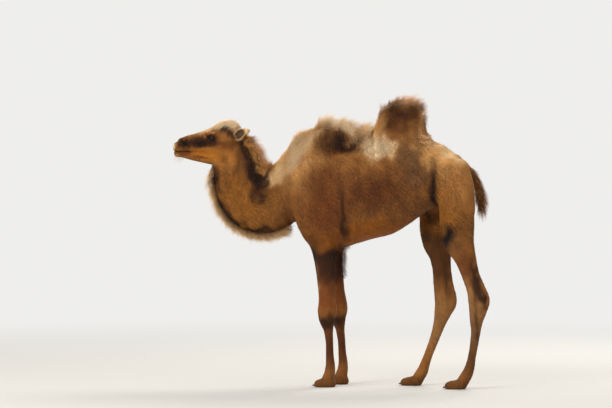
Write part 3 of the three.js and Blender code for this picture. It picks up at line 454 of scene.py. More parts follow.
def values_near(field, low, counts, cell, margin):
    """The field at the nodes of a grid. Every fourth node is worked out first, and the rest only
    where the nearest of those is within margin of the surface."""
    every = 4
    coarse = [int(np.ceil(n / every)) + 1 for n in counts]
    axes = [low[c] + every * cell * np.arange(coarse[c]) for c in range(3)]
    at = np.stack(np.meshgrid(*axes, indexing="ij"), -1).reshape(-1, 3)
    rough = field(at).reshape(coarse)
    index = [np.minimum((np.arange(n) + every // 2) // every, coarse[c] - 1)
             for c, n in enumerate(counts)]
    values = rough[np.ix_(*index)].copy()
    close = np.abs(values) < margin
    values[close] = field(low + cell * np.stack(np.nonzero(close), 1))
    return values


def net_of(values, low, cell, left_out=None):
    """Quads round the negative nodes of a grid: one corner in each cell that the surface crosses,
    at the mean of the crossings of the cell's edges, and one quad round each crossed edge.
    left_out marks cells that get no quads, which leaves the net open there."""
    inside = values < 0
    cells = tuple(n - 1 for n in values.shape)
    sums = np.zeros(cells + (3,))
    count = np.zeros(cells)
    grid = np.stack(np.meshgrid(*[np.arange(n) for n in cells], indexing="ij"), -1)
    crossed = []
    for axis in range(3):
        first = np.moveaxis(values, axis, 0)[:-1]
        second = np.moveaxis(values, axis, 0)[1:]
        cross = np.moveaxis((first < 0) != (second < 0), 0, axis)
        with np.errstate(divide="ignore", invalid="ignore"):
            t = np.moveaxis(first / (first - second), 0, axis)
        crossed.append(cross)
        others = [c for c in range(3) if c != axis]
        for du in (0, 1):
            for dv in (0, 1):
                cut = [slice(None)] * 3
                cut[others[0]] = slice(du, du + cells[others[0]])
                cut[others[1]] = slice(dv, dv + cells[others[1]])
                here = cross[tuple(cut)]
                place = grid[here].astype(float)
                place[:, axis] += t[tuple(cut)][here]
                place[:, others[0]] += du
                place[:, others[1]] += dv
                sums[here] += place
                count[here] += 1
    used = count > 0
    if left_out is not None:
        used &= ~left_out
    name = np.full(cells, -1)
    name[used] = np.arange(used.sum())
    points = low + cell * sums[used] / count[used][:, None]
    quads = []
    for axis in range(3):
        u, v = (axis + 1) % 3, (axis + 2) % 3
        cut = [slice(1, -1)] * 3
        cut[axis] = slice(None)
        at = np.stack(np.nonzero(crossed[axis][tuple(cut)]), 1)
        at[:, u] += 1
        at[:, v] += 1
        step_u, step_v = np.eye(3, dtype=int)[u], np.eye(3, dtype=int)[v]
        ring = np.stack([name[tuple((at - shift).T)] for shift in (0, step_u, step_u + step_v, step_v)], 1)
        turned = ~inside[tuple(at.T)]
        ring[turned] = ring[turned][:, ::-1]
        quads.append(ring[(ring >= 0).all(1)])
    return points, np.concatenate(quads)


def pulled_onto(field, p, rounds=3, step=0.4):
    """The points moved onto the surface: each round takes the field over its slope squared, times
    the slope, off every point."""
    for _ in range(rounds):
        here = field(p)
        slope = np.stack([field(p + step * axis) - here for axis in np.eye(3)], 1) / step
        p = p - slope * (here / np.maximum((slope ** 2).sum(1), 0.25))[:, None]
    return p


# The body's net is coarse and the head's fine. They meet level across the upper neck, and square
# across the nape.
BODY_CELL, HEAD_CELL = 12.0, 2.95
NECK_LEVEL, HEAD_REAR = 1400.0, -500.0
body_low, body_span = np.array([-1080.0, -276, -30]), (2172, 552, 1944)
body_counts = [int(np.ceil(n / BODY_CELL)) + 1 for n in body_span]
body_values = values_near(skin_field, body_low, body_counts, BODY_CELL, margin=80)
nodes_x = body_low[0] + BODY_CELL * np.arange(body_counts[0] - 1)
nodes_z = body_low[2] + BODY_CELL * np.arange(body_counts[2] - 1)
is_head = (nodes_x[:, None, None] < HEAD_REAR) & (nodes_z[None, None, :] > NECK_LEVEL - BODY_CELL)
body_points, body_quads = net_of(body_values, body_low, BODY_CELL,
                                 np.broadcast_to(is_head, [n - 1 for n in body_counts]))
first_level = nodes_z[nodes_z > NECK_LEVEL - BODY_CELL][0]
head_low = np.array([-1077.0, -135, first_level])
head_span = (HEAD_REAR - head_low[0], 309, 1770 - first_level)
head_counts = [int(np.ceil(n / HEAD_CELL)) + 1 for n in head_span]
head_values = values_near(skin_field, head_low, head_counts, HEAD_CELL, margin=26)
head_points, head_quads = net_of(head_values, head_low, HEAD_CELL)


def open_edges(bm, faces):
    """The edges of these faces that have no second face."""
    return [edge for edge in {e for face in faces for e in face.edges} if edge.is_boundary]


skin_net = bmesh.new()
both_points = np.concatenate([body_points, head_points])
both_quads = np.concatenate([body_quads, head_quads + len(body_points)])
skin_mesh = bpy.data.meshes.new("skin")
skin_mesh.from_pydata(both_points.tolist(), [], both_quads.tolist())
skin_net.from_mesh(skin_mesh)
skin_net.faces.ensure_lookup_table()
rims = [open_edges(skin_net, skin_net.faces[:len(body_quads)]),
        open_edges(skin_net, skin_net.faces[len(body_quads):])]
bmesh.ops.bridge_loops(skin_net, edges=rims[0] + rims[1])
# where two folds touch in one cell, four quads share an edge: those come out and are closed afresh
crowded = {face for edge in skin_net.edges if not edge.is_manifold for face in edge.link_faces}
bmesh.ops.delete(skin_net, geom=list(crowded), context="FACES")
bmesh.ops.holes_fill(skin_net, edges=[edge for edge in skin_net.edges if edge.is_boundary])
bmesh.ops.triangulate(skin_net, faces=[face for face in skin_net.faces if len(face.verts) > 4])
skin_net.to_mesh(skin_mesh)
skin_net.free()


def coords(mesh):
    """The mesh's places as one array."""
    flat = np.zeros(len(mesh.vertices) * 3)
    mesh.vertices.foreach_get("co", flat)
    return flat.reshape(-1, 3)


def in_metres(p):
    """Places in the frame: less the animal's middle, over 1000."""
    return (p - (CENTRE_X, 0, 0)) / 1000


def in_millimetres(p):
    """Places in the field from places in the frame."""
    return p * 1000 + (CENTRE_X, 0, 0)


def eased(mesh, p, share):
    """The points moved towards the middle of their neighbours, each by its share."""
    ends = np.zeros(len(mesh.edges) * 2, int)
    mesh.edges.foreach_get("vertices", ends)
    a, b = ends.reshape(-1, 2).T
    count = np.maximum(np.bincount(np.concatenate([a, b]), minlength=len(p)), 1)
    total = np.stack([np.bincount(np.concatenate([a, b]), np.concatenate([p[b, c], p[a, c]]), len(p))
                      for c in range(3)], 1)
    return p + share[:, None] * (total / count[:, None] - p)


# The net's corners are drawn onto the surface, then eased: all of them once, and the coarse ones
# more and twice, except at the soles
skin_points = pulled_onto(skin_field, coords(skin_mesh))
is_coarse = (np.arange(len(skin_points)) < len(body_points)) * ramp(skin_points[:, 2], 20, 120)
for share in (0.35 + 0.15 * is_coarse, 0.5 * is_coarse):
    skin_points = eased(skin_mesh, skin_points, share)
skin_mesh.vertices.foreach_set("co", in_metres(skin_points).ravel())
skin_mesh.shade_smooth()
skin = bpy.data.objects.new("skin", skin_mesh)
bpy.context.scene.collection.objects.link(skin)
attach(skin, "root")
flesh_nodes = [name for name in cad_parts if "eye" not in name and "nail" not in name]
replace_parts(skin, *flesh_nodes)

# ---------------------------------------------------------------- markings and painted light of the hide and coat
# A young camel in summer coat is tawny, cream where old wool still hangs on, golden under the belly,
# and dark on the nape, forelegs, muzzle and round the eyes. Some marks are painted light: the cream
# along the back, humps and crown is partly painted highlight, the darker middle of the flank partly
# painted shade, and the amber under the belly a painted glow. Dark marks in the folds, grooves, mouth,
# nostrils and under the throat's fringe are painted shade, and those round the eyes and on the nape
# partly so. The same markings colour the skin and every tuft that grows from it.
SHADES = dict(
    tawny=(0.58, 0.37, 0.165), golden=(0.68, 0.43, 0.13), chestnut=(0.38, 0.19, 0.06),
    umber=(0.23, 0.11, 0.04), sepia=(0.145, 0.064, 0.024), black_brown=(0.08, 0.036, 0.016),
    amber=(0.69, 0.38, 0.07), cream=(1.0, 0.87, 0.66), ivory=(1.0, 0.91, 0.76), sand=(0.88, 0.66, 0.40),
    fawn=(0.72, 0.50, 0.27), grey_brown=(0.43, 0.295, 0.185), leg_grey=(0.58, 0.45, 0.30),
    rust=(0.46, 0.235, 0.08))
# Each mark: shade, strength, side (-1 is the left, 1 the right, 0 both), middle x, z, half sizes x,
# z, turn, softness
BODY_MARKS = [
    # painted light from above: the fawn back is partly paler hair and partly painted highlight, and the
    # chestnut middle of the flank is partly its own colour and partly painted shade
    ("fawn", 0.6, 0, 300, 1580, 760, 150, 0, 0.8),
    ("chestnut", 0.9, 0, 320, 1260, 260, 150, 0.1, 0.9),
    ("golden", 0.85, 0, 330, 1000, 420, 90, 0.14, 0.8),
    # painted glow: amber under the belly stands for light shining through its hair
    ("amber", 0.7, 0, 300, 995, 380, 84, 0.14, 1.0),
    ("rust", 0.85, 0, 0, 1130, 190, 190, 0, 0.9),
    ("fawn", 0.4, 0, -150, 1330, 110, 160, -0.3, 0.9),
    ("chestnut", 0.65, 0, -50, 1340, 120, 130, 0, 0.9),
    ("grey_brown", 0.8, 0, 560, 1490, 120, 130, 0.2, 0.9),
    ("grey_brown", 0.7, 0, 600, 1370, 110, 90, 0, 0.9),
    # sand and cream over the croup's top: partly paler hair and partly painted highlight
    ("sand", 0.9, 0, 740, 1500, 180, 110, -0.5, 0.8),
    ("cream", 0.7, 0, 765, 1540, 170, 52, -0.5, 0.9),
    ("fawn", 0.8, 0, 840, 1300, 100, 190, 0, 0.8),
    ("golden", 0.6, 0, 800, 1130, 110, 140, 0, 0.9),
    # painted shade in the flank fold before each thigh
    ("sepia", 0.97, -1, 694, 1255, 22, 190, 0, 0.7),
    ("sepia", 0.97, 1, 598, 1245, 22, 190, 0.2, 0.7),
    # painted shade along the groove behind the shoulder and down the upper arm
    ("umber", 0.85, 0, 114, 1130, 18, 180, 0, 0.8),
    ("sepia", 0.8, 0, 128, 1010, 28, 80, 0, 0.9),
    ("umber", 0.5, 0, 90, 1260, 22, 110, 0.2, 1.0),
    # pale along the top line from the withers over the front hump: partly paler hair and partly painted
    # highlight
    ("sand", 0.8, 0, -210, 1460, 210, 130, 0.75, 0.9),
    ("cream", 0.7, 0, -200, 1560, 190, 60, 0.7, 0.9),
    ("ivory", 0.7, 0, -250, 1480, 170, 70, 0.75, 1.0),
    ("cream", 0.85, 0, -330, 1370, 110, 56, 0.6, 0.8),
    ("ivory", 0.9, 0, 60, 1705, 190, 50, 0, 0.7),
    ("cream", 0.75, 0, 250, 1630, 110, 46, 0, 0.7),
    ("sand", 0.8, 0, 320, 1535, 130, 80, 0, 0.8),
    ("ivory", 0.9, 0, 315, 1545, 125, 66, 0, 0.9),
    ("umber", 0.9, 0, 76, 1588, 145, 66, -0.08, 0.8),
    ("sepia", 0.9, 0, 92, 1578, 115, 40, -0.05, 0.8),
    ("chestnut", 0.6, 0, 60, 1530, 120, 50, 0, 0.8),
    ("chestnut", 0.7, 0, 460, 1700, 130, 110, 0, 0.8),
    ("umber", 0.85, 0, 480, 1785, 130, 44, -0.08, 0.8),
    ("umber", 0.6, 0, 370, 1715, 60, 66, 0.4, 0.9),
    ("fawn", 0.7, 0, 540, 1695, 44, 70, 0, 0.8),
    # rear hump: umber on its rear slope is partly painted shade, and sand on its top, rear edge and front
    # slope is painted highlight
    ("umber", 0.8, 0, 606, 1715, 26, 90, 0.15, 0.8),
    ("sand", 0.85, 0, 450, 1856, 150, 50, -0.1, 0.7),
    ("sand", 0.8, 0, 600, 1690, 30, 100, 0.15, 0.8),
    ("sand", 0.85, 0, 312, 1700, 44, 90, -0.4, 0.8),
    ("sepia", 0.85, -1, 800, 970, 90, 90, -0.5, 0.8),
    ("black_brown", 0.95, -1, 778, 985, 46, 70, -0.35, 0.7),
    ("sepia", 0.7, 1, 620, 985, 70, 90, 0.2, 0.9),
    ("sepia", 0.7, 0, 640, 1090, 70, 36, 0.3, 0.9),
]
LEG_MARKS = [
    ("sepia", 0.97, 0, -20, 890, 170, 160, 0, 0.6),
    ("black_brown", 0.8, 0, -10, 860, 120, 120, 0, 0.8),
    ("umber", 0.95, 0, 0, 745, 120, 140, 0, 0.7),
    ("rust", 0.8, 0, 0, 570, 120, 120, 0, 0.8),
    ("fawn", 0.3, 0, -58, 640, 14, 190, 0, 0.9),
    ("black_brown", 0.95, 0, -16, 408, 120, 60, 0.2, 0.65),
    ("chestnut", 0.9, 0, 20, 250, 110, 160, 0, 0.8),
    ("umber", 0.45, 0, 16, 260, 110, 130, 0, 0.8),
    # painted highlight down the front of the left shank
    ("fawn", 0.6, -1, 860, 860, 60, 160, 0.3, 0.9),
    ("umber", 0.8, 1, 680, 820, 150, 220, 0, 0.7),
    ("leg_grey", 0.45, -1, 950, 480, 110, 300, 0.1, 0.8),
    ("chestnut", 0.85, -1, 900, 800, 90, 130, 0.3, 0.8),
    # painted shade in the groove down the back of the left hind leg
    ("umber", 0.8, -1, 985, 650, 36, 130, 0.3, 0.8),
    ("sepia", 0.9, -1, 1022, 565, 26, 56, 0.2, 0.7),
    ("grey_brown", 0.7, -1, 950, 330, 90, 170, 0, 0.8),
    ("umber", 0.6, -1, 930, 180, 60, 160, 0.1, 0.9),
    ("leg_grey", 0.4, 1, 690, 400, 150, 230, 0, 0.8),
    # painted shade along the tendons' grooves behind the hind legs
    ("sepia", 0.8, -1, 976, 700, 15, 150, 0.22, 0.9),
    ("umber", 0.7, -1, 982, 430, 14, 170, 0.06, 0.9),
    ("sepia", 0.6, 1, 740, 680, 15, 150, 0.08, 0.9),
    ("umber", 0.6, 0, 400, 20, 1400, 60, 0, 0.9),
]
NECK_MARKS = [
    ("golden", 0.6, 0, -560, 1230, 200, 200, 0, 0.9),
    ("umber", 0.5, 0, -610, 1440, 30, 100, 0.2, 1.0),
    # the dark nape: partly dark hair and partly painted shade where the neck curves in
    ("sepia", 0.97, 0, -500, 1390, 60, 200, 0.12, 0.7),
    ("umber", 0.8, 0, -455, 1230, 60, 80, 0.6, 0.8),
    ("fawn", 0.8, 0, -540, 1600, 90, 36, -0.75, 0.7),
    # pale on the withers: partly paler hair and partly painted highlight
    ("sand", 0.7, 0, -230, 1480, 200, 110, 0.75, 0.8),
    ("cream", 0.75, 0, -330, 1370, 110, 50, 0.6, 0.8),
    # painted shade: a dark band down the throat and under the neck, beneath the fringe's hair
    ("sepia", 0.9, 0, -772, 1330, 38, 125, 0, 0.8),
    ("sepia", 0.9, 0, -738, 1170, 40, 115, 0.55, 0.8),
    ("sepia", 0.9, 0, -640, 1060, 115, 36, -0.6, 0.8),
    ("sepia", 0.9, 0, -480, 1006, 150, 30, 0, 0.8),
]
HEAD_MARKS = [
    ("golden", 0.85, 0, -790, 1500, 170, 60, -0.1, 0.9),
    ("amber", 0.5, 0, -880, 1510, 120, 30, -0.15, 0.9),
    ("umber", 0.45, 0, -700, 1470, 30, 60, 0.5, 1.0),
    ("fawn", 0.8, 0, -900, 1650, 190, 32, 0.3, 0.8),
    # painted highlight along the top of the head, from the forehead to the poll
    ("ivory", 0.97, 0, -705, 1712, 130, 54, 0, 0.6),
    ("cream", 0.75, 0, -820, 1668, 90, 18, 0.3, 0.8),
    ("umber", 0.95, 0, -880, 1588, 110, 42, 0.05, 0.7),
    ("sepia", 0.92, 0, -850, 1573, 92, 27, 0.0, 0.8),
    ("umber", 0.85, 0, -770, 1578, 70, 28, 0, 0.8),
    ("chestnut", 0.6, 0, -690, 1560, 70, 34, 0, 0.9),
    ("sepia", 0.95, 0, -982, 1573, 56, 42, 0.1, 0.8),
    # painted shade in the nostril's slit
    ("black_brown", 0.97, 0, -982, 1581, 36, 10, -0.75, 0.7),
    ("chestnut", 0.8, 0, -1000, 1508, 60, 22, 0.1, 0.8),
    # painted shade in the mouth's corner and along its line
    ("umber", 0.7, 0, -940, 1520, 40, 9, -0.1, 0.8),
    ("sepia", 0.95, 0, -1000, 1524, 80, 4.5, -0.03, 0.6),
    # dark round the eye, partly painted shade of the lids and lashes, and a painted highlight on the brow
    # above it
    ("sepia", 0.97, 0, -782, 1610, 52, 32, 0.05, 0.8),
    ("sand", 0.7, 0, -778, 1645, 22, 7, 0, 0.9),
    ("fawn", 0.6, 0, -838, 1622, 10, 16, 0.2, 0.9),
    ("umber", 0.92, 0, -705, 1664, 38, 19, 0.1, 0.6),
    ("umber", 0.9, 0, -668, 1642, 24, 26, 0, 0.7),
    ("sepia", 0.8, 0, -640, 1632, 20, 46, 0, 0.8),
    # painted highlight on the front of the upper lip
    ("cream", 0.85, 0, -1052, 1560, 14, 20, 0, 0.8),
    ("sand", 0.5, 0, -1040, 1494, 24, 14, 0, 0.9),
    # painted shade in the groove under the cheek, and a painted highlight on the ridge above it
    ("umber", 0.75, 0, -868, 1484, 66, 9, -0.12, 0.9),
    ("golden", 0.7, 0, -850, 1505, 90, 8, -0.18, 0.9),
]


def linear(shade):
    """The shade as light, which is what a mesh colour holds: ((c + 0.055) / 1.055)^2.4, or
    c / 12.92 where it is darkest."""
    shade = np.array(shade, float)
    return np.where(shade > 0.04045, ((shade + 0.055) / 1.055) ** 2.4, shade / 12.92)


def waves(p, size, seed, count=7):
    """A smooth random value of about -1 to 1 that changes over size millimetres: the sum of sines
    of place in random directions, over the root of their number."""
    random = np.random.default_rng(seed)
    ways = random.normal(size=(3, count))
    ways *= 2 * np.pi / (np.linalg.norm(ways, axis=0) * size * random.uniform(0.8, 2.4, count))
    return np.sin(p @ ways + random.uniform(0, 6.3, count)).sum(1) / np.sqrt(count)


def part_shares(p):
    """How far each place belongs to the head, neck, legs and tail, from 0 to 1: ramps across the
    borders between them, multiplied."""
    x, _, z = p.T
    head = np.maximum(ramp(-x, 596, 640) * ramp(z, 1420, 1460), ramp(-x, 490, 520) * ramp(z, 1585, 1615))
    neck = ramp(-x, 240, 340) * (1 - head)
    leg = ramp(-z, -1040, -940) * (1 - neck)
    tail = ramp(x, 890, 920) * ramp(z, 1060, 1100)
    return head, neck, leg, tail


def marked(p):
    """The coat's colour at each place. Each mark is an oval in the side view, laid over those
    before it: its strength inside, less across its soft edge, which wanders with waves. Some marks
    are painted light and shade. The ears get a pale rim, partly painted highlight, and a dark
    hollow, partly painted shade, and all of it varies a little in brightness."""
    colour = np.tile(linear(SHADES["tawny"]), (len(p), 1))
    head, neck, leg, _ = part_shares(p)
    for marks, where, size in ((LEG_MARKS, leg, 36), (BODY_MARKS, (1 - neck) * (1 - head), 70),
                               (NECK_MARKS, neck, 50), (HEAD_MARKS, head, 16)):
        near = where > 0.01
        q = p[near]
        wander = [waves(q, size, seed) * size * 0.3 for seed in (1, 2)]
        for shade, strength, side, middle_x, middle_z, half_x, half_z, turn, soft in marks:
            astray = min(min(half_x, half_z) / (0.6 * size), 1)
            dx, dz = q[:, 0] + astray * wander[0] - middle_x, q[:, 2] + astray * wander[1] - middle_z
            along = (np.cos(turn) * dx + np.sin(turn) * dz) / half_x
            above = (np.cos(turn) * dz - np.sin(turn) * dx) / half_z
            share = strength * where[near] * (1 - ramp(np.hypot(along, above), 1 - soft, 1 + soft / 2))
            share = share * (q[:, 1] * side >= 0)
            colour[near] += share[:, None] * (linear(SHADES[shade]) - colour[near])
    # the ears: the pale rim is partly painted highlight and the dark hollow partly painted shade
    for side in (-1, 1):
        base, tip, across, out = ear_frame(side)
        off = p - base
        along = off @ tip / EAR["length"]
        near = (along > 0.12) & (along < 1.25) & (np.linalg.norm(off, axis=1) < 170) & (p[:, 1] * side > 50)
        leaf, bend = ear_section(np.clip(along, 0, 1), off @ across)
        edge = np.maximum(np.abs(off @ across) / leaf, along - 0.06)
        inner = (1 - ramp(edge, 0.74, 0.98)) * ramp(off @ out - bend, -1.5, 1.5)
        for shade, share in (("cream", 0.75 * near), ("umber", 0.92 * near * inner)):
            colour += (share * ramp(along, 0.12, 0.3))[:, None] * (linear(SHADES[shade]) - colour)
    return colour * (1 + 0.09 * waves(p, 45, 3) + 0.06 * waves(p, 14, 4))[:, None]


def paint(mesh, colour, name="coat"):
    """Stores a colour for each vertex of the mesh."""
    layer = mesh.color_attributes.new(name, "FLOAT_COLOR", "POINT")
    layer.data.foreach_set("color", np.concatenate([colour, np.ones((len(colour), 1))], 1).ravel())


class Value:
    """A socket of a material's nodes, with arithmetic. An expression adds Math nodes for plain
    numbers, and Vector Math and Mix nodes for places and colours."""

    def __init__(self, tree, socket):
        self.tree, self.socket = tree, socket

    def node(self, kind, settings=None, out=0, **inputs):
        """A node of this kind. Its settings are set first, then its sockets, given by name or as
        i0, i1 and so on. Returns its output out, a name or a number."""
        made = self.tree.nodes.new("ShaderNode" + kind)
        for name, setting in (settings or {}).items():
            if name == "stops":
                stops = made.color_ramp.elements
                while len(stops) < len(setting):
                    stops.new(0.5)
                for stop, (at, shade) in zip(stops, setting):
                    stop.position, stop.color = at, (*shade, 1)
            else:
                setattr(made, name, setting)
        for name, given in inputs.items():
            numbered = name[0] == "i" and name[1:].isdigit()
            socket = made.inputs[int(name[1:])] if numbered else made.inputs[name.replace("_", " ")]
            if isinstance(given, Value):
                self.tree.links.new(given.socket, socket)
            elif hasattr(given, "__len__") and len(socket.default_value) == 4:
                socket.default_value = (*given, 1)
            else:
                socket.default_value = given
        return Value(self.tree, made.outputs[out])

    def maths(self, operation, other, swap=False):
        """This and the other value through one operation, the other one first if swapped."""
        first, second = (other, self) if swap else (self, other)
        kind = "VectorMath" if self.socket.type == "VECTOR" else "Math"
        return self.node(kind, {"operation": operation}, i0=first, i1=second)

    # sums, products and differences, with this value on either side of the sign
    def __add__(self, other):
        return self.maths("ADD", other)

    __radd__ = __add__

    def __mul__(self, other):
        return self.maths("MULTIPLY", other)

    __rmul__ = __mul__

    def __sub__(self, other):
        return self.maths("SUBTRACT", other)

    def __rsub__(self, other):
        return self.maths("SUBTRACT", other, swap=True)

    def limited(self):
        """The value held between 0 and 1."""
        return self.node("Clamp", Value=self)

    def length(self):
        """How far a place is from the middle: the root of its squares' sum."""
        return self.node("VectorMath", {"operation": "LENGTH"}, out="Value", i0=self)

    def stepped(self, start, end):
        """0 before start, 1 after end, and a smooth step between."""
        return self.node("MapRange", {"interpolation_type": "SMOOTHSTEP"}, Value=self,
                         From_Min=start, From_Max=end)

    def shaded(self, *stops):
        """The colour at this value along stops of a place and a colour."""
        return self.node("ValToRGB", {"stops": stops}, Fac=self)

    def mixed(self, other, share, blend="MIX"):
        """This colour with share of the other laid over it."""
        return self.node("Mix", {"data_type": "RGBA", "blend_type": blend}, out=2,
                         i0=share, i6=self, i7=other)


def material(name, **settings):
    """A new material, a Value on its Object coordinates, and a function that links values to its
    principled shader's sockets by name. Settings are the shader's fixed values."""
    made = bpy.data.materials.new(name)
    made.use_nodes = True
    shader = made.node_tree.nodes["Principled BSDF"]
    for socket, setting in settings.items():
        shader.inputs[socket.replace("_", " ")].default_value = setting

    def joined(**links):
        """Links each value to the shader's socket of that name."""
        for socket, value in links.items():
            made.node_tree.links.new(value.socket, shader.inputs[socket.replace("_", " ")])
    return made, Value(made.node_tree, None).node("TexCoord", out="Object"), joined


# The hide is the coat's own colour a little in shade, with fine hair laid over it as noise drawn
# out along the lie of each part, which also stands as bump. The gaps between the drawn hairs are
# darkened as painted shade.
paint(skin_mesh, np.clip(marked(skin_points) * 0.92, 0, 1))
paint(skin_mesh, np.stack(part_shares(skin_points)[:3], 1), "parts")
hide, place, joined = material("hide", Roughness=0.8, Specular_IOR_Level=0.2)
shade = place.node("Attribute", {"attribute_name": "coat"}, out="Color")
parts = place.node("Attribute", {"attribute_name": "parts"}, out="Color")
on_head_share = place.node("SeparateColor", out="Red", Color=parts)
on_leg_share = place.node("SeparateColor", out="Blue", Color=parts)


def drawn_hair(turn, scale):
    """Noise drawn out 4.5 times along a line that leans turn radians from upright."""
    laid = place.node("Mapping", Vector=place, Scale=(1.0, 1.0, 0.22), Rotation=(0.0, turn, 0.0))
    return place.node("TexNoise", Vector=laid, Scale=scale, Detail=3.0, Roughness=0.6)


hairs, clumps = (drawn_hair(0.55, scale) * (1 - on_head_share) * (1 - on_leg_share)
                 + drawn_hair(1.4, scale * 1.5) * on_head_share
                 + drawn_hair(0.1, scale) * on_leg_share for scale in (420.0, 80.0))
painted_shade_in_gaps = (1.35 - hairs * 1.1 - clumps * 0.9).limited()
joined(Base_Color=shade.mixed((0.45, 0.42, 0.38), painted_shade_in_gaps, "MULTIPLY"), Roughness=0.75 + 0.15 * clumps,
       Normal=place.node("Bump", Strength=0.7, Distance=0.004, Height=hairs * 0.6 + clumps * 0.6))
skin_mesh.materials.append(hide)

# ---------------------------------------------------------------- eyes
# Each eye is a wet ball with a bulging cornea, a dark brown iris and a level oval pupil. It sits
# in the hide's lids, and both of them have a bare dark rim.
def grid_mesh(name, places, around=False):
    """A mesh of quads over a grid of places; around joins the last column to the first."""
    rows, columns = places.shape[:2]
    names = np.arange(rows * columns).reshape(rows, columns)
    after = np.roll(names, -1, axis=1) if around else names[:, 1:]
    first = names if around else names[:, :-1]
    quads = np.stack([first[:-1], after[:-1], after[1:], first[1:]], -1).reshape(-1, 4)
    mesh = bpy.data.meshes.new(name)
    mesh.from_pydata(in_metres(places.reshape(-1, 3)).tolist(), [], quads.tolist())
    mesh.shade_smooth()
    return mesh


def shown(mesh, surface, part):
    """The mesh as a piece of the animal, with its material. Its part is not used."""
    mesh.materials.append(surface)
    piece = bpy.data.objects.new(mesh.name, mesh)
    bpy.context.scene.collection.objects.link(piece)
    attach(piece, "root")
    return piece


def closed_ends(mesh):
    """Fills the open ends of a tube or ball and turns every face outwards."""
    net = bmesh.new()
    net.from_mesh(mesh)
    bmesh.ops.remove_doubles(net, verts=net.verts, dist=1e-6)
    bmesh.ops.holes_fill(net, edges=[edge for edge in net.edges if edge.is_boundary])
    bmesh.ops.recalc_face_normals(net, faces=net.faces)
    net.to_mesh(mesh)
    net.free()
    mesh.shade_smooth()


# The ball's colour goes by how far each place is from the gaze, in millimetres: a pupil longer than
# high, an iris with fine rays, and the brown white of the eye
eye_wet, place, joined = material("eye_wet", Roughness=0.07, Specular_IOR_Level=0.13)
gaze = place.node("Attribute", {"attribute_name": "gaze"}, out="Vector")
from_middle = gaze.length()
in_pupil = (gaze * (0.62, 1.0, 1.0)).length().stepped(4.2, 3.6)
rays = place.node("TexNoise", Vector=place, Scale=900.0, Detail=3.0)
iris = (from_middle * 0.09 + rays * 0.25).shaded(
    (0.30, (0.012, 0.006, 0.004)), (0.62, (0.040, 0.018, 0.007)), (0.90, (0.020, 0.010, 0.006)))
joined(Base_Color=iris.mixed((0.003, 0.0025, 0.0025), in_pupil)
       .mixed((0.10, 0.055, 0.04), from_middle.stepped(13.4, 15.5)))
lid_leather, place, joined = material("lid_leather", Roughness=0.5, Specular_IOR_Level=0.12)
wrinkles = place.node("TexNoise", Vector=place, Scale=900.0, Detail=4.0)
joined(Base_Color=wrinkles.shaded((0.3, (0.006, 0.004, 0.003)), (0.75, (0.028, 0.016, 0.011))),
       Normal=place.node("Bump", Strength=0.5, Distance=0.0006, Height=wrinkles))


def unit(ways):
    """The ways, a row each, over their lengths."""
    return ways / np.maximum(np.linalg.norm(ways, axis=1, keepdims=True), 1e-6)


def lid_line(side, t, out):
    """The edge of the lids at t from 0 to 2 pi: from the front corner over the upper lid to the
    rear one and back under the lower lid, on a ball out millimetres outside the lids."""
    middle, looks, back, up = eye_frame(side)
    along = -EYE["half_slit"] * np.cos(t)
    arc = 1 - (along / EYE["half_slit"]) ** 2
    above = np.where(np.sin(t) > 0, EYE["up"] * (1 + 0.25 * along / EYE["half_slit"]), -EYE["down"]) * arc
    deep = np.sqrt((EYE["lid"] + out) ** 2 - along ** 2 - above ** 2)
    return middle + deep[..., None] * looks + along[..., None] * back + above[..., None] * up


for side, name in ((-1, "left"), (1, "right")):
    middle, looks, back, up = eye_frame(side)
    # the ball, with a cornea 1.6 prouder; rows run from the gaze to the rear
    away, turn = np.meshgrid(np.linspace(0.02, np.pi - 0.02, 40),
                             np.linspace(0, 2 * np.pi, 48, endpoint=False), indexing="ij")
    radius = EYE["radius"] + 1.6 * np.exp(-(away / 0.62) ** 4)
    off = np.stack([np.cos(away), np.sin(away) * np.cos(turn), np.sin(away) * np.sin(turn)], -1)
    off = off * radius[..., None]
    ball = grid_mesh("eyeball_" + name, middle + off @ np.array([looks, back, up]), around=True)
    closed_ends(ball)
    # each place's offset along the slit and up from the gaze; the rear half is put 30 off, as white
    gaze_at = (in_millimetres(coords(ball)) - middle) @ np.array([back, up, looks]).T
    gaze_at[:, 2] = np.where(gaze_at[:, 2] > 0, 0, 30)
    layer = ball.attributes.new("gaze", "FLOAT_VECTOR", "POINT")
    layer.data.foreach_set("vector", gaze_at.ravel())
    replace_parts(shown(ball, eye_wet, "eye"), "eye_" + name)
    # the rim: a tube about 2 in radius along the lids' edge, fullest over the upper lid
    t = np.linspace(0, 2 * np.pi, 72, endpoint=False)
    path = lid_line(side, t, -0.6)
    run = np.roll(path, -1, 0) - np.roll(path, 1, 0)
    out_way = unit(path - middle)
    across = np.cross(unit(run), out_way)
    thick = 1.7 + 0.9 * np.maximum(np.sin(t), 0) + 0.4 * np.maximum(-np.sin(t), 0)
    turn = np.linspace(0, 2 * np.pi, 10, endpoint=False)
    ring = (np.cos(turn)[None, :, None] * out_way[:, None]
            + np.sin(turn)[None, :, None] * 1.25 * across[:, None])
    rim_places = path[:, None] + thick[:, None, None] * ring
    rim = grid_mesh("lid_rim_" + name, np.concatenate([rim_places, rim_places[:1]]), around=True)
    closed_ends(rim)
    shown(rim, lid_leather, "dark_coat")

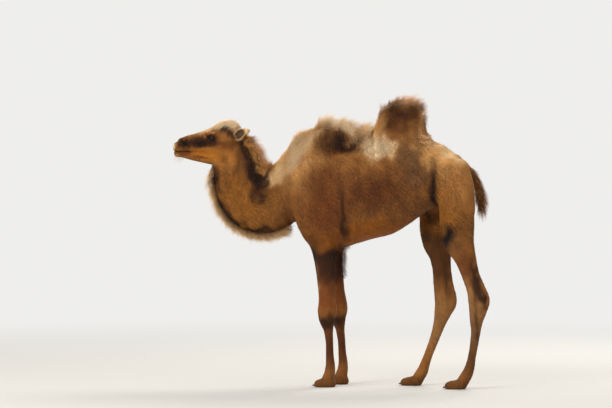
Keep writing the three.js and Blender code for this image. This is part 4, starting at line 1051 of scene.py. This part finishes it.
# ---------------------------------------------------------------- short coat
# Hairs lie in small tufts that overlap like shingles: back over the head, down the neck and legs,
# and back and down over the trunk. Each tuft is a thin closed spike rooted in the hide.
def lie_of(p, normal, swirl=0.35, seed=11):
    """The way the hair lies: a mix of one way for each part of the body, turned by waves and laid
    flat on the skin."""
    head, neck, leg, tail = (share[:, None] for share in part_shares(p))
    _, run, *_ = nearest_on(smooth_rows(NECK, 4), p, 4)
    down_neck = np.stack([run[:, 0], 0 * run[:, 0], run[:, 1]], 1)
    way = np.array([0.5, 0, -0.85]) * (1 - neck) * (1 - head) + down_neck * neck
    way = way * (1 - leg) + np.array([0.12, 0, -1.0]) * leg
    way = way * (1 - tail) + np.array([0.35, 0, -1.0]) * tail + np.array([1.0, 0, -0.15]) * head
    side = np.cross(normal, way)
    way = way + side * (swirl * waves(p, 90, seed) + 0.6 * swirl * waves(p, 26, seed + 1))[:, None]
    return unit(way - (way * normal).sum(1, keepdims=True) * normal)


skin_mesh.calc_loop_triangles()
skin_corners = np.zeros(len(skin_mesh.loop_triangles) * 3, int)
skin_mesh.loop_triangles.foreach_get("vertices", skin_corners)
skin_corners = skin_corners.reshape(-1, 3)
skin_normals = np.zeros(len(skin_mesh.vertices) * 3)
skin_mesh.vertices.foreach_get("normal", skin_normals)
skin_normals = skin_normals.reshape(-1, 3)
corner_places = skin_points[skin_corners]
middles = corner_places.mean(1)
skin_areas = np.linalg.norm(np.cross(corner_places[:, 1] - corner_places[:, 0],
                                     corner_places[:, 2] - corner_places[:, 0]), axis=1) / 2


def roots(apart, share, seed):
    """Places on the skin, and the skin's normals there. apart is the gap between roots in
    millimetres, and share how many of them each triangle keeps, from 0 to 1. They are dealt out
    evenly along the running total of the triangles' areas."""
    random = np.random.default_rng(seed)
    total = np.cumsum(skin_areas * share / np.broadcast_to(apart, len(skin_areas)) ** 2)
    count = int(total[-1])
    picks = np.searchsorted(total, np.arange(count) + random.uniform(0, 1, count))
    picks = np.minimum(picks, len(total) - 1)
    a, b = random.uniform(0, 1, (2, count))
    a, b = np.where(a + b > 1, 1 - a, a), np.where(a + b > 1, 1 - b, b)
    weights = np.stack([1 - a - b, a, b], 1)[:, :, None]
    normal = (skin_normals[skin_corners[picks]] * weights).sum(1)
    return (corner_places[picks] * weights).sum(1), unit(normal)


def unrolled(p, rows):
    """Each place's spot on the skin rolled out flat from a body part's middle line: the share
    along the line across, and the turn round it up."""
    path = smooth_rows(rows, 4)
    row, run, _, _, at = nearest_on(path, p, 4)
    turn = np.arctan2(p[:, 1] - row[:, 1], beside_line(row, run, p)) / (2 * np.pi) + 0.5
    return np.stack([0.01 + 0.98 * at / (len(path) - 1), 0.01 + 0.98 * turn], 1)


def gap_between(places):
    """About how far apart roots are: 1.3 times the root of the mean squared gap from a few of them
    to the three nearest."""
    some = places[::max(len(places) // 40, 1)]
    gaps = np.sort(((some[:, None] - places[None]) ** 2).sum(2), 1)[:, 1:4]
    return np.sqrt(gaps.mean()) * 1.3


def tuft_faces(rings):
    """The corners of one tuft's triangles: a spike on a flat triangle, or with rings, a spindle
    from a root point through rings of three to the tip."""
    faces = [(0, 2, 1), (0, 3, 2), (0, 1, 3)] if rings else [(0, 2, 1)]
    for ring in range(rings - 1):
        for i in range(3):
            a, b = 1 + 3 * ring + i, 1 + 3 * ring + (i + 1) % 3
            faces += [(a, b, b + 3), (a, b + 3, a + 3)]
    tip = 3 * rings + 1 if rings else 3
    return faces + [(tip - 3, tip - 2, tip), (tip - 2, tip - 1, tip), (tip - 1, tip - 3, tip)]


def drawn_together(line, root, t, clump, random):
    """The tufts' middle lines, moved by 0.62 t^1.5 of the way to the line of the nearest leading
    tuft. The leaders are picked at random, about clump millimetres apart."""
    share_leading = min((gap_between(root) / clump) ** 2, 1)
    heads = random.permutation(len(root))[:max(int(len(root) * share_leading), 1)]
    leader = np.concatenate([heads[((root[heads][None] - some[:, None]) ** 2).sum(2).argmin(1)]
                             for some in np.array_split(root, len(root) // 2000 + 1)])
    return line + (line[leader] - line) * 0.62 * t ** 1.5


def mesh_of_copies(name, places, faces):
    """A mesh with the same triangles for each row of places, and the list of its corners."""
    count, own_points = places.shape[:2]
    corner_list = (np.arange(count)[:, None, None] * own_points + np.array(faces)).reshape(-1)
    mesh = bpy.data.meshes.new(name)
    mesh.vertices.add(count * own_points)
    mesh.vertices.foreach_set("co", in_metres(places.reshape(-1, 3)).ravel())
    mesh.loops.add(len(corner_list))
    mesh.loops.foreach_set("vertex_index", corner_list)
    mesh.polygons.add(len(corner_list) // 3)
    mesh.polygons.foreach_set("loop_start", np.arange(0, len(corner_list), 3))
    mesh.update(calc_edges=True)
    return mesh, corner_list


def tufts(name, root, normal, lie, length, width, colour, spot, rise=0.35, curl=0.0, rings=0, seed=0,
          root_shade=0.8, tip_shade=1.15, flat=0.45, tip=None, clump=0.0, vary=0.09, part="coat"):
    """One mesh of tufts. At t, from root (0) to tip (1), a tuft's middle line is at root +
    length * (lie * t + normal * rise * (2 t - t^2)) and a sideways curl * t * sin(turns of t). Its
    section is a flat triangle: with no rings it is widest at the root, and with rings it is
    width * sin(pi t^0.7) across. Its shade goes from root_shade to tip_shade by t^0.8, and its
    colour to tip by t^0.9."""
    random = np.random.default_rng(seed)
    count = len(root)
    length = (np.broadcast_to(length, count) * random.uniform(0.7, 1.3, count))[:, None, None]
    width = (np.broadcast_to(width, count) * random.uniform(0.75, 1.25, count))[:, None, None]
    rise = (np.broadcast_to(rise, count) * random.uniform(0.5, 1.5, count))[:, None, None]
    side = np.cross(normal, lie)
    t = (np.arange(rings) + 0.75) / (rings + 0.6) if rings else np.zeros(1)
    t = np.concatenate([[0], t, [1]] if rings else [t, [1]])[None, :, None]
    turns = np.sin(random.uniform(2, 5, (count, 1, 1)) * t + random.uniform(0, 6.3, (count, 1, 1)))
    line = (root[:, None] - normal[:, None] * 1.2
            + length * (lie[:, None] * t + normal[:, None] * rise * (2 * t - t ** 2))
            + side[:, None] * length * curl * t * turns)
    if clump:
        line = drawn_together(line, root, t, clump, random)
    ring_part = line[:, 1:-1] if rings else line[:, :1]
    across = width / 2 * np.sin(np.pi * t[:, 1:-1] ** 0.7) if rings else width / 2
    corners = [(-1, -0.5 * flat), (1, -0.5 * flat), (0, flat)]
    rounds = np.stack([ring_part + across * (side[:, None] * a + normal[:, None] * b) for a, b in corners], 2)
    parts = [rounds.reshape(count, -1, 3), line[:, -1:]]
    places = np.concatenate([line[:, :1]] + parts if rings else parts, 1)
    mesh, corner_list = mesh_of_copies(name, places, tuft_faces(rings))
    ring_t = np.repeat(t[0, 1:-1, 0], 3) if rings else np.zeros(3)
    stations = np.concatenate([[0], ring_t, [1]] if rings else [ring_t, [1]])
    # the tuft darkens towards its root, a painted shade deep in the coat
    shade = root_shade + (tip_shade - root_shade) * stations ** 0.8
    own = random.normal(1, vary, (count, 1, 1))
    ends = (colour if tip is None else tip) - colour
    hair_colour = colour[:, None] + ends[:, None] * (stations ** 0.9)[None, :, None]
    hair_colour = hair_colour * shade[None, :, None] * np.clip(own, 0.5, 1.5)
    paint(mesh, (hair_colour / np.maximum(hair_colour.max(2, keepdims=True), 1)).reshape(-1, 3))
    # each tuft has its own small spot in the map that colours are baked into
    bake_map = mesh.uv_layers.new(name="OFBake")
    spread = np.concatenate([[0], np.tile([-1, 1, 0], rings), [0]] if rings else [[-1, 1, 0], [0]])
    spots = spot[:, None] + 0.0015 * np.stack([2 * stations - 1, spread], 1)
    bake_map.data.foreach_set("uv", spots.reshape(-1, 2)[corner_list].ravel())
    mesh.shade_smooth()
    return shown(mesh, fur, part)


def round_tail(p):
    """True within 12 of the tail's outside."""
    row, _, gap, *_ = nearest_on(smooth_rows(TAIL, 4), p, 4)
    return np.sqrt(gap + p[:, 1] ** 2) < row[:, 3] + 12


# Fur is the tuft's own colour, with a dull shine
fur, place, joined = material("fur", Roughness=0.75, Specular_IOR_Level=0.2,
                              Sheen_Weight=0.06, Sheen_Roughness=0.4)
shade = place.node("Attribute", {"attribute_name": "coat"}, out="Color")
fine = place.node("TexNoise", Vector=place, Scale=650.0, Detail=2.0)
joined(Base_Color=shade.mixed((0.6, 0.55, 0.5), (0.55 - fine * 0.5).limited(), "MULTIPLY"),
       Roughness=0.66 + 0.2 * fine, Normal=place.node("Bump", Strength=0.3, Distance=0.001, Height=fine))

# No hair grows on the soles, by the eyes, in the nostrils or along the mouth
on_head, _, _, on_tail = part_shares(middles)
x, y, z = middles.T
bare = z < 14
for side in (-1, 1):
    middle, *_ = eye_frame(side)
    bare |= np.linalg.norm(middles - middle, axis=1) < EYE["lid"] + 3
is_head, is_tail = on_head > 0.5, (on_tail > 0.5) & round_tail(middles)
bare |= is_head & (np.hypot(x - NOSTRIL[0], z - NOSTRIL[2]) < 18)
bare |= is_head & (x < -905) & (np.abs(z - 1524 + 0.12 * np.maximum(x + 1000, 0)) < 5)
is_leg = (z < 1000) & (x > -300) & ~is_tail
is_neck = (x < -260) & ~is_head
is_trunk = ~(is_head | is_tail | is_leg | is_neck)
# The lines that the skins of the trunk and the head are rolled out from
BACKBONE = [(-260, 0, 1330), (300, 0, 1330), (860, 0, 1330)]
HEAD_LINE = [(-1075, 0, 1552), (-480, 0, 1640)]


def in_four_rolls(p):
    """The four legs' skins rolled out in four bands, one above the other: each place goes to the
    leg whose middle line is nearest, and a quarter of the way up for each leg before it."""
    spot = np.full((len(p), 2), 0.5)
    nearest = np.full(len(p), np.inf)
    for number, leg in enumerate(LEGS.values()):
        row, _, gap, *_ = nearest_on(smooth_rows(leg, 4), p, 4)
        gap = gap + (p[:, 1] - row[:, 1]) ** 2
        mine = gap < nearest
        nearest[mine] = gap[mine]
        spot[mine] = (unrolled(p[mine], leg) + (0, number)) * (1, 0.25)
    return spot


def short_coat(name, where, apart, rows, seed, rise=0.28, **form):
    """Short tufts over one part: 3 + 1.45 coat depths long, 0.9 + 0.14 depths wide, and up to 2.3
    times as steep along the top line."""
    root, normal = roots(apart, where & ~bare, seed)
    depth = coat_depth(root)
    spot = unrolled(root, rows) if rows else in_four_rolls(root)
    above = ramp(root[:, 2], 1480, 1560) * (1 - ramp(np.abs(root[:, 1]), 60, 130))
    return tufts(name, root, normal, lie_of(root, normal), 3 + 1.45 * depth, 0.9 + 0.14 * depth,
                 marked(root), spot, rise=rise * (1 + 1.3 * above), seed=seed, **form)


short_coat("coat_trunk_left", is_trunk & (y < 0), 5.6, BACKBONE, 21)
short_coat("coat_trunk_right", is_trunk & (y >= 0), 5.6, BACKBONE, 22)
short_coat("coat_neck", is_neck, 5.0, NECK, 23)
short_coat("coat_forelegs", is_leg & (x < 350), 4.6, None, 24, rise=0.25, root_shade=0.9, tip_shade=1.1)
short_coat("coat_hind_legs", is_leg & (x >= 350), 4.6, None, 26, rise=0.25, root_shade=0.9, tip_shade=1.1)
face_gap = 2.1 + 1.1 * ramp(x, -900, -640)
short_coat("coat_head", is_head, face_gap, HEAD_LINE, 25, rise=0.2, root_shade=0.95, tip_shade=1.08)

# ---------------------------------------------------------------- long hair
# Old winter hair still stands on the crown, the back of the neck, the withers and the humps, and
# hangs from the throat, the elbows and the tail. Its locks are like the tufts of the short coat,
# but longer and rounder, and their tips are drawn together.
def round_neck(p):
    """The turn round the neck, from 0 at the nape to pi at the throat."""
    row, run, *_ = nearest_on(smooth_rows(NECK, 4), p, 4)
    return np.abs(np.arctan2(p[:, 1], beside_line(row, run, p)))


def colour_of(shade, count):
    """One named shade for every tuft."""
    return np.tile(linear(SHADES[shade]), (count, 1))


def locks(name, share_at, apart, rows, seed, short, long, width, lie=None, ends=None, mixed=1.0,
          within=None, **form):
    """Long tufts where share_at is above 0: their length goes from short to long as it goes to 1,
    and their number by its square root. ends is the shade of their tips, laid over the markings
    by mixed * share, and within that of their roots, by the share."""
    root, normal = roots(apart, np.sqrt(share_at(middles)) * ~bare, seed)
    share = share_at(root)
    way = unit(lie_of(root, normal, swirl=0.5) if lie is None else lie(root, normal))
    base = marked(root)

    def laid_over(shade, amount):
        """The markings with this amount of the shade over them."""
        return base if shade is None else base + amount[:, None] * (colour_of(shade, len(root)) - base)

    roots_colour, tips_colour = laid_over(within, share), laid_over(ends, mixed * share)
    return tufts(name, root, normal, way, short + (long - short) * share, width, roots_colour,
                 unrolled(root, rows), seed=seed, tip=tips_colour, rings=2, **form)


def hanging(way, loose=0.2):
    """A lie that goes one way, a little astray and mostly along the skin."""
    def lie(root, normal):
        """The way with a random part added, less 0.7 of what stands off the skin."""
        random = np.random.default_rng(len(root))
        astray = np.array(way) + random.normal(0, loose, (len(root), 3))
        return astray - 0.7 * (astray * normal).sum(1, keepdims=True) * normal
    return lie


# Throat: a fringe from the jaw to the breast, its pale ends standing out from the middle line. The cream of
# the ends is partly painted rim light.
def at_throat(p):
    """Between jaw and breast, 1 within 0.09 radians of the throat's middle line, 0 from 0.26."""
    front = ramp(round_neck(p), np.pi - 0.26, np.pi - 0.09)
    return front * ramp(-p[:, 0], 280, 330) * (1 - ramp(p[:, 2], 1425, 1465)) * (part_shares(p)[0] < 0.5)


locks("fringe_throat", at_throat, 2.7, NECK, 31, 20, 47, 1.6, rise=0.95, curl=0.16, clump=8, vary=0.14,
      within="fawn", ends="cream", root_shade=0.85, tip_shade=1.45)


# Nape: dark hair hangs down each side, its darkness partly painted shade, and rust and golden hair stands
# along the middle, its sand ends partly painted rim light.
def at_nape(p):
    """1 from x -440 forwards between z 1270 and 1600, except from 66 to 84 out near the ears."""
    on_neck = 1 - ramp(np.abs(p[:, 1]), 66, 84) * ramp(p[:, 2], 1530, 1570)
    return ramp(-p[:, 0], 390, 440) * ramp(p[:, 2], 1190, 1270) * (1 - ramp(p[:, 2], 1600, 1650)) * on_neck


def at_crest(p):
    """The nape's share, all within 0.16 radians of its middle line and none from 0.42."""
    return at_nape(p) * (1 - ramp(round_neck(p), 0.16, 0.42))


def beside_crest(p):
    """The nape's share between 0.12 and 1 radian off its middle line."""
    turn = round_neck(p)
    return at_nape(p) * ramp(turn, 0.12, 0.3) * (1 - ramp(turn, 0.6, 1.0))


locks("mane", at_crest, 3.2, NECK, 32, 20, 46, 1.6, rise=0.95, curl=0.16, clump=9, vary=0.2,
      within="golden", ends="sand", mixed=0.8, root_shade=0.75, tip_shade=1.25)
locks("mane_dark", beside_crest, 4.6, NECK, 43, 20, 46, 2.0, rise=0.42, curl=0.18, clump=14, vary=0.2,
      within="sepia", ends="umber", mixed=0.8, root_shade=0.8, tip_shade=1.15)


# Withers: pale hair, partly painted highlight, that stands up along the top line and thins out down the
# shoulder
def at_withers(p):
    """From the neck's root to the front hump, 1 from 20 above the top line, 0 from 200 below it
    and 175 out, with waves in it."""
    top_line = np.interp(p[:, 0], [-420, -300, -165, -30], [1290, 1400, 1580, 1640])
    above = ramp(p[:, 2] - top_line, -200, 20)
    above = above * (0.75 + 0.25 * waves(p, 50, 9))
    return (above * (1 - ramp(np.abs(p[:, 1]), 40, 175)) * ramp(p[:, 0], -430, -330)
            * (1 - ramp(p[:, 0], -60, 0)) * (part_shares(p)[0] < 0.5))


def up_hill(root, normal):
    """A lie back and up along the top line: part of the coat's own, and a fixed way added."""
    return lie_of(root, normal, swirl=0.5) * (0.5, 0.6, 0.2) + (0.35, 0, 0.5)


locks("hair_withers", at_withers, 3.8, BACKBONE, 33, 14, 40, 1.9, lie=up_hill, rise=0.38, curl=0.18, clump=12,
      vary=0.26, ends="cream", mixed=0.7, root_shade=1.2, tip_shade=1.5)


# Front hump: pale hair bristles along its top, its paleness partly painted highlight, and dark hair falls
# down each side
def at_front_hump(p):
    """1 along the front hump's length, from x -60 to 240."""
    return ramp(p[:, 0], -120, -60) * (1 - ramp(p[:, 0], 240, 300))


def on_ridge(p, level):
    """1 on the middle of a hump's top from 15 above the level up, 0 from 50 below it and 90 out."""
    return ramp(p[:, 2], level - 50, level + 15) * (1 - ramp(np.abs(p[:, 1]), 25, 90))


def at_front_ridge(p):
    """The front hump's ridge, full at both its ends and half between them."""
    spikes = 0.5 + 0.5 * np.maximum(1 - ramp(np.abs(p[:, 0] + 62), 30, 80), ramp(p[:, 0], 150, 220))
    ridge = on_ridge(p, np.interp(p[:, 0], [-100, 0, 100, 200, 300], [1640, 1690, 1680, 1620, 1620]))
    return at_front_hump(p) * ridge * spikes


def at_front_side(p):
    """The front hump's sides, from z 1600 to 1670 and from 80 out."""
    high = ramp(p[:, 2], 1510, 1600)
    return at_front_hump(p) * high * (1 - ramp(p[:, 2], 1670, 1710)) * ramp(np.abs(p[:, 1]), 40, 80)


locks("hair_hump_front", at_front_side, 4.4, BACKBONE, 34, 24, 58, 2.2,
      lie=hanging((0.15, 0, -0.9)), rise=0.45, curl=0.2, clump=18, vary=0.22, root_shade=0.8, tip_shade=1.2)
locks("bristle_front", at_front_ridge, 3.6, BACKBONE, 44, 12, 50, 1.6, lie=up_hill, rise=0.8,
      curl=0.16, clump=12, vary=0.18, ends="cream", mixed=0.6, root_shade=1.1, tip_shade=1.45)


# Rear hump: brown hair falls down its sides, and pale-ended hair bristles over it, the pale ends partly
# painted rim light
def at_rear_hump(p):
    """1 along the rear hump's length, from x 300 to 640."""
    return ramp(p[:, 0], 250, 300) * (1 - ramp(p[:, 0], 640, 680))


def at_rear_ridge(p):
    """The rear hump's ridge, 0.35 at its front and half at its rear."""
    ridge = on_ridge(p, np.interp(p[:, 0], [250, 320, 420, 560, 630], [1640, 1760, 1800, 1790, 1700]))
    front = 0.35 + 0.65 * ramp(p[:, 0], 300, 440)
    return at_rear_hump(p) * ridge * front * (1 - 0.5 * ramp(p[:, 0], 540, 600))


def at_rear_side(p):
    """The rear hump's sides, from z 1760 up and from 60 out."""
    return at_rear_hump(p) * ramp(p[:, 2], 1640, 1760) * ramp(np.abs(p[:, 1]), 30, 60)


locks("hair_hump_rear", at_rear_side, 4.6, BACKBONE, 35, 18, 46, 2.0, lie=hanging((0.3, 0, -0.9)), rise=0.4,
      curl=0.2, clump=16, vary=0.2, ends="rust", mixed=0.4, root_shade=0.8, tip_shade=1.2)
locks("bristle_rear", at_rear_ridge, 3.6, BACKBONE, 45, 16, 46, 1.7, lie=up_hill, rise=0.7,
      curl=0.16, clump=12, vary=0.2, ends="sand", mixed=0.7, root_shade=0.8, tip_shade=1.35)


# Back: loose wool between the humps and behind the rear one, in curled clumps
def at_back(p):
    """Two bell-shaped places, behind each hump, broken into patches by waves."""
    saddle = np.exp(-((p[:, 0] - 315) / 120) ** 2 - ((p[:, 2] - 1560) / 90) ** 2)
    rear = np.exp(-((p[:, 0] - 620) / 60) ** 2 - ((p[:, 2] - 1600) / 80) ** 2)
    patches = ramp(waves(p, 60, 8), -0.6, 0.4)
    return ramp(np.maximum(saddle, 0.7 * rear), 0.2, 0.9) * patches


locks("wool_back", at_back, 4.6, BACKBONE, 39, 14, 34, 2.4, rise=0.5, curl=0.5, clump=12,
      ends="ivory", mixed=0.8, vary=0.24, root_shade=1.3, tip_shade=1.6)


# Tail: a fringe down both sides, longest at its end
def at_tail(p):
    """On the tail, 0.25 at its root and 1 from z 1180 down."""
    lower = 0.25 + 0.75 * ramp(-p[:, 2], -1400, -1180)
    return round_tail(p) * ramp(p[:, 0], 885, 930) * lower * (p[:, 2] < 1420)


locks("hair_tail", at_tail, 3.0, TAIL, 36, 26, 88, 1.8, lie=hanging((0.1, 0, -1.0), 0.12),
      rise=0.4, curl=0.12, clump=12, vary=0.18, within="umber", ends="fawn", mixed=0.7,
      root_shade=0.8, tip_shade=1.2)


# Elbows: brown hair that hangs behind the forelegs, most on the right one
def at_elbow(p):
    """Behind the forelegs' tops, from x 70 to 120 and z 780 to 850, a fifth on the left side."""
    rear = ramp(p[:, 0], 20, 70) * (1 - ramp(p[:, 0], 120, 170))
    return rear * ramp(p[:, 2], 690, 780) * (1 - ramp(p[:, 2], 850, 915)) * np.where(p[:, 1] > 0, 1, 0.2)


locks("hair_elbow", at_elbow, 4.2, BACKBONE, 37, 16, 84, 2.0, lie=hanging((0.35, 0, -1.0)),
      rise=0.5, curl=0.2, clump=12, vary=0.2, ends="rust", mixed=0.9, root_shade=0.9, tip_shade=1.3)


# Crown: pale woolly hair on top of the head, between the ears and before them; its paleness is painted
# highlight along the head's top
def at_crown(p):
    """The head's share above z 1640 to 1690 and behind x -830 to -720, inside of the ears."""
    head = part_shares(p)[0] * (np.abs(p[:, 1]) < 92) * (p[:, 0] < -612)
    return head * ramp(p[:, 0], -830, -720) * ramp(p[:, 2], 1640, 1690)


locks("hair_crown", at_crown, 2.9, HEAD_LINE, 38, 8, 24, 1.3, rise=0.5, curl=0.25, clump=8, vary=0.14,
      root_shade=1.25, tip_shade=1.6)

# ---------------------------------------------------------------- lashes and whiskers
# Long dark lashes stand on the upper lid in two rows, and a row of short ones on the lower lid.
# Stiff pale whiskers grow on the chin and lips. Each is a single hair rooted in the skin.
LASH_ROWS = [(0.35, 2.95, 70, 18, 0.30), (0.5, 2.8, 50, 14, 0.85), (3.6, 5.8, 34, 8, -0.6)]


def lashes_of(side, start, end, count, length, upward):
    """One row's roots, normals, lies and lengths: count lashes spaced evenly from start to end
    round the lids, fanned out from the row's middle and turned up or down."""
    _, looks, back, up = eye_frame(side)
    t = np.linspace(start, end, count)
    way = looks * 0.9 + back * (0.25 - 0.75 * np.cos(t)[:, None]) + up * upward
    normal = np.tile(-up * np.sign(upward), (count, 1))
    return lid_line(side, t, 1.2), normal, unit(way), np.full(count, float(length))


lash_root, lash_normal, lash_lie, lash_length = map(
    np.concatenate, zip(*[lashes_of(side, *row) for side in (-1, 1) for row in LASH_ROWS]))
lash_spot = np.stack([(lash_root[:, 0] + 835) / 115,
                      (lash_root[:, 2] - 1585) / 110 + 0.5 * (lash_root[:, 1] > 0)], 1)
tufts("lashes", lash_root, lash_normal, lash_lie, lash_length, 1.0,
      colour_of("black_brown", len(lash_root)) * 0.4, lash_spot,
      rise=0.25, rings=3, seed=41, flat=0.8, root_shade=0.8, tip_shade=1.0, part="dark_coat")


def at_lips(p):
    """Two bell-shaped places, on the chin and the upper lip's front."""
    chin = np.exp(-((p[:, 0] + 1020) / 40) ** 2 - ((p[:, 2] - 1495) / 22) ** 2)
    lip = 0.7 * np.exp(-((p[:, 0] + 1045) / 22) ** 2 - ((p[:, 2] - 1560) / 26) ** 2)
    return ramp(chin + lip, 0.2, 0.8) * part_shares(p)[0]


locks("whiskers", at_lips, 9.0, HEAD_LINE, 42, 8, 26, 0.7, lie=hanging((-0.5, 0, -0.8), 0.3),
      rise=0.9, curl=0.15, ends="cream", mixed=1.0)

# ---------------------------------------------------------------- nails
# Each foot has two blunt nails at the front of its pad. They are dark horn, ridged down their
# length, and grow out of the skin above the toes.
horn, place, joined = material("horn", Roughness=0.5, Coat_Weight=0.15, Coat_Roughness=0.4)
drawn_out = place.node("Mapping", Vector=place, Scale=(0.25, 1.0, 1.0))
grain = place.node("TexNoise", Vector=drawn_out, Scale=420.0, Detail=5.0)
joined(Base_Color=grain.shaded((0.25, (0.022, 0.016, 0.012)), (0.55, (0.07, 0.048, 0.034)),
                               (0.85, (0.16, 0.115, 0.08))),
       Roughness=0.36 + 0.3 * grain, Normal=place.node("Bump", Strength=0.6, Distance=0.0015, Height=grain))
# A nail, at t from its root (0) to its tip (1) and turned by a: it is sqrt(1 - t^2.6) across,
# with fine ridges along it, flat below, and its top comes down by 0.4 t towards the tip
t, a = np.meshgrid(np.linspace(0, 1, 15) ** 0.8, np.linspace(0, 2 * np.pi, 32, endpoint=False), indexing="ij")
across = np.sqrt(1 - t ** 2.6) * (1 + 0.02 * np.cos(12 * a) * t)
rise = np.maximum(0.5 + 0.5 * across * np.sin(a), 0.12) * (1 - 0.4 * t)
in_box = np.stack([1 - t, 0.5 + 0.49 * across * np.cos(a), rise], 2)
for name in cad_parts:
    if "nail" in name:
        low, high = (in_millimetres(np.array(corner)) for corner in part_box(name))
        nail = grid_mesh("horn_" + name, low + (high - low) * in_box, around=True)
        closed_ends(nail)
        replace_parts(shown(nail, horn, "horn"), name)

# ---------------------------------------------------------------- floor, light and camera
# The model stands on a plain pale studio floor. A large soft lamp hangs behind it, another in
# front, and an even light comes from all round. It is seen from a long way off.
PALE = (0.86, 0.855, 0.84)
FLOOR_REACH = 60
floor = bpy.data.meshes.new("floor")
floor.from_pydata([(x * FLOOR_REACH, y * FLOOR_REACH, 0) for x, y in ((-1, -1), (1, -1), (1, 1), (-1, 1))],
                  [], [(0, 1, 2, 3)])
floor_piece = bpy.data.objects.new("floor", floor)
bpy.context.scene.collection.objects.link(floor_piece)
floor_paint, place, _ = material("floor", Base_Color=(0.52, 0.515, 0.50, 1), Roughness=0.9)
floor.materials.append(floor_paint)


def camera_sees(output, lit, seen, share=1.0):
    """Joins a mix of two shaders to the output: the camera sees the second one, by the share, and
    everything else meets the first."""
    by_camera = lit.node("LightPath", out="Is Camera Ray") * share
    both = lit.node("MixShader", Fac=by_camera, i1=lit, i2=seen)
    lit.tree.links.new(both.socket, lit.tree.nodes[output].inputs["Surface"])


# far from its middle the floor fades into the backdrop
matt = Value(place.tree, place.tree.nodes["Principled BSDF"].outputs["BSDF"])
camera_sees("Material Output", matt, place.node("Emission", Color=PALE), place.length().stepped(1.5, 9.0))

world = bpy.data.worlds.new("studio")
bpy.context.scene.world = world
world.use_nodes = True
air = Value(world.node_tree, None)
camera_sees("World Output", air.node("Background", Color=(1.0, 0.98, 0.94), Strength=0.85),
            air.node("Background", Color=PALE))


def soft_light(name, place, towards, size, power, colour):
    """A square lamp of the given size in metres, turned towards a place."""
    lamp = bpy.data.lights.new(name, "AREA")
    lamp.size = size
    lamp.energy = power
    lamp.color = colour
    holder = bpy.data.objects.new(name, lamp)
    holder.location = place
    holder.rotation_euler = (Vector(towards) - Vector(place)).to_track_quat("-Z", "Y").to_euler()
    bpy.context.scene.collection.objects.link(holder)


MIDDLE = (0, 0, 1.1)
soft_light("key_light", (2.5, 5.0, 6.0), MIDDLE, 4.0, 460, (1.0, 0.95, 0.86))
soft_light("front_light", (-3.5, -6.5, 4.5), MIDDLE, 5.0, 520, (1.0, 0.96, 0.90))

# The camera stands 18 m off, level with the shoulder, 12 degrees behind the animal's left side
CAMERA_TURN = np.radians(12)
CAMERA_AWAY, CAMERA_HEIGHT, VIEW_WIDTH = 18, 1.323, 612
camera = bpy.data.cameras.new("camera")
camera.lens = 162.9
camera.sensor_width = 36
camera.shift_x, camera.shift_y = -25.5 / VIEW_WIDTH, -22 / VIEW_WIDTH
camera.clip_end = 200
camera_holder = bpy.data.objects.new("camera", camera)
camera_holder.location = (CAMERA_AWAY * np.sin(CAMERA_TURN) - CENTRE_X / 1000,
                          -CAMERA_AWAY * np.cos(CAMERA_TURN), CAMERA_HEIGHT)
camera_holder.rotation_euler = (np.radians(90), 0, CAMERA_TURN)
bpy.context.scene.collection.objects.link(camera_holder)
bpy.context.scene.camera = camera_holder

bpy.context.scene.view_settings.view_transform = "Standard"
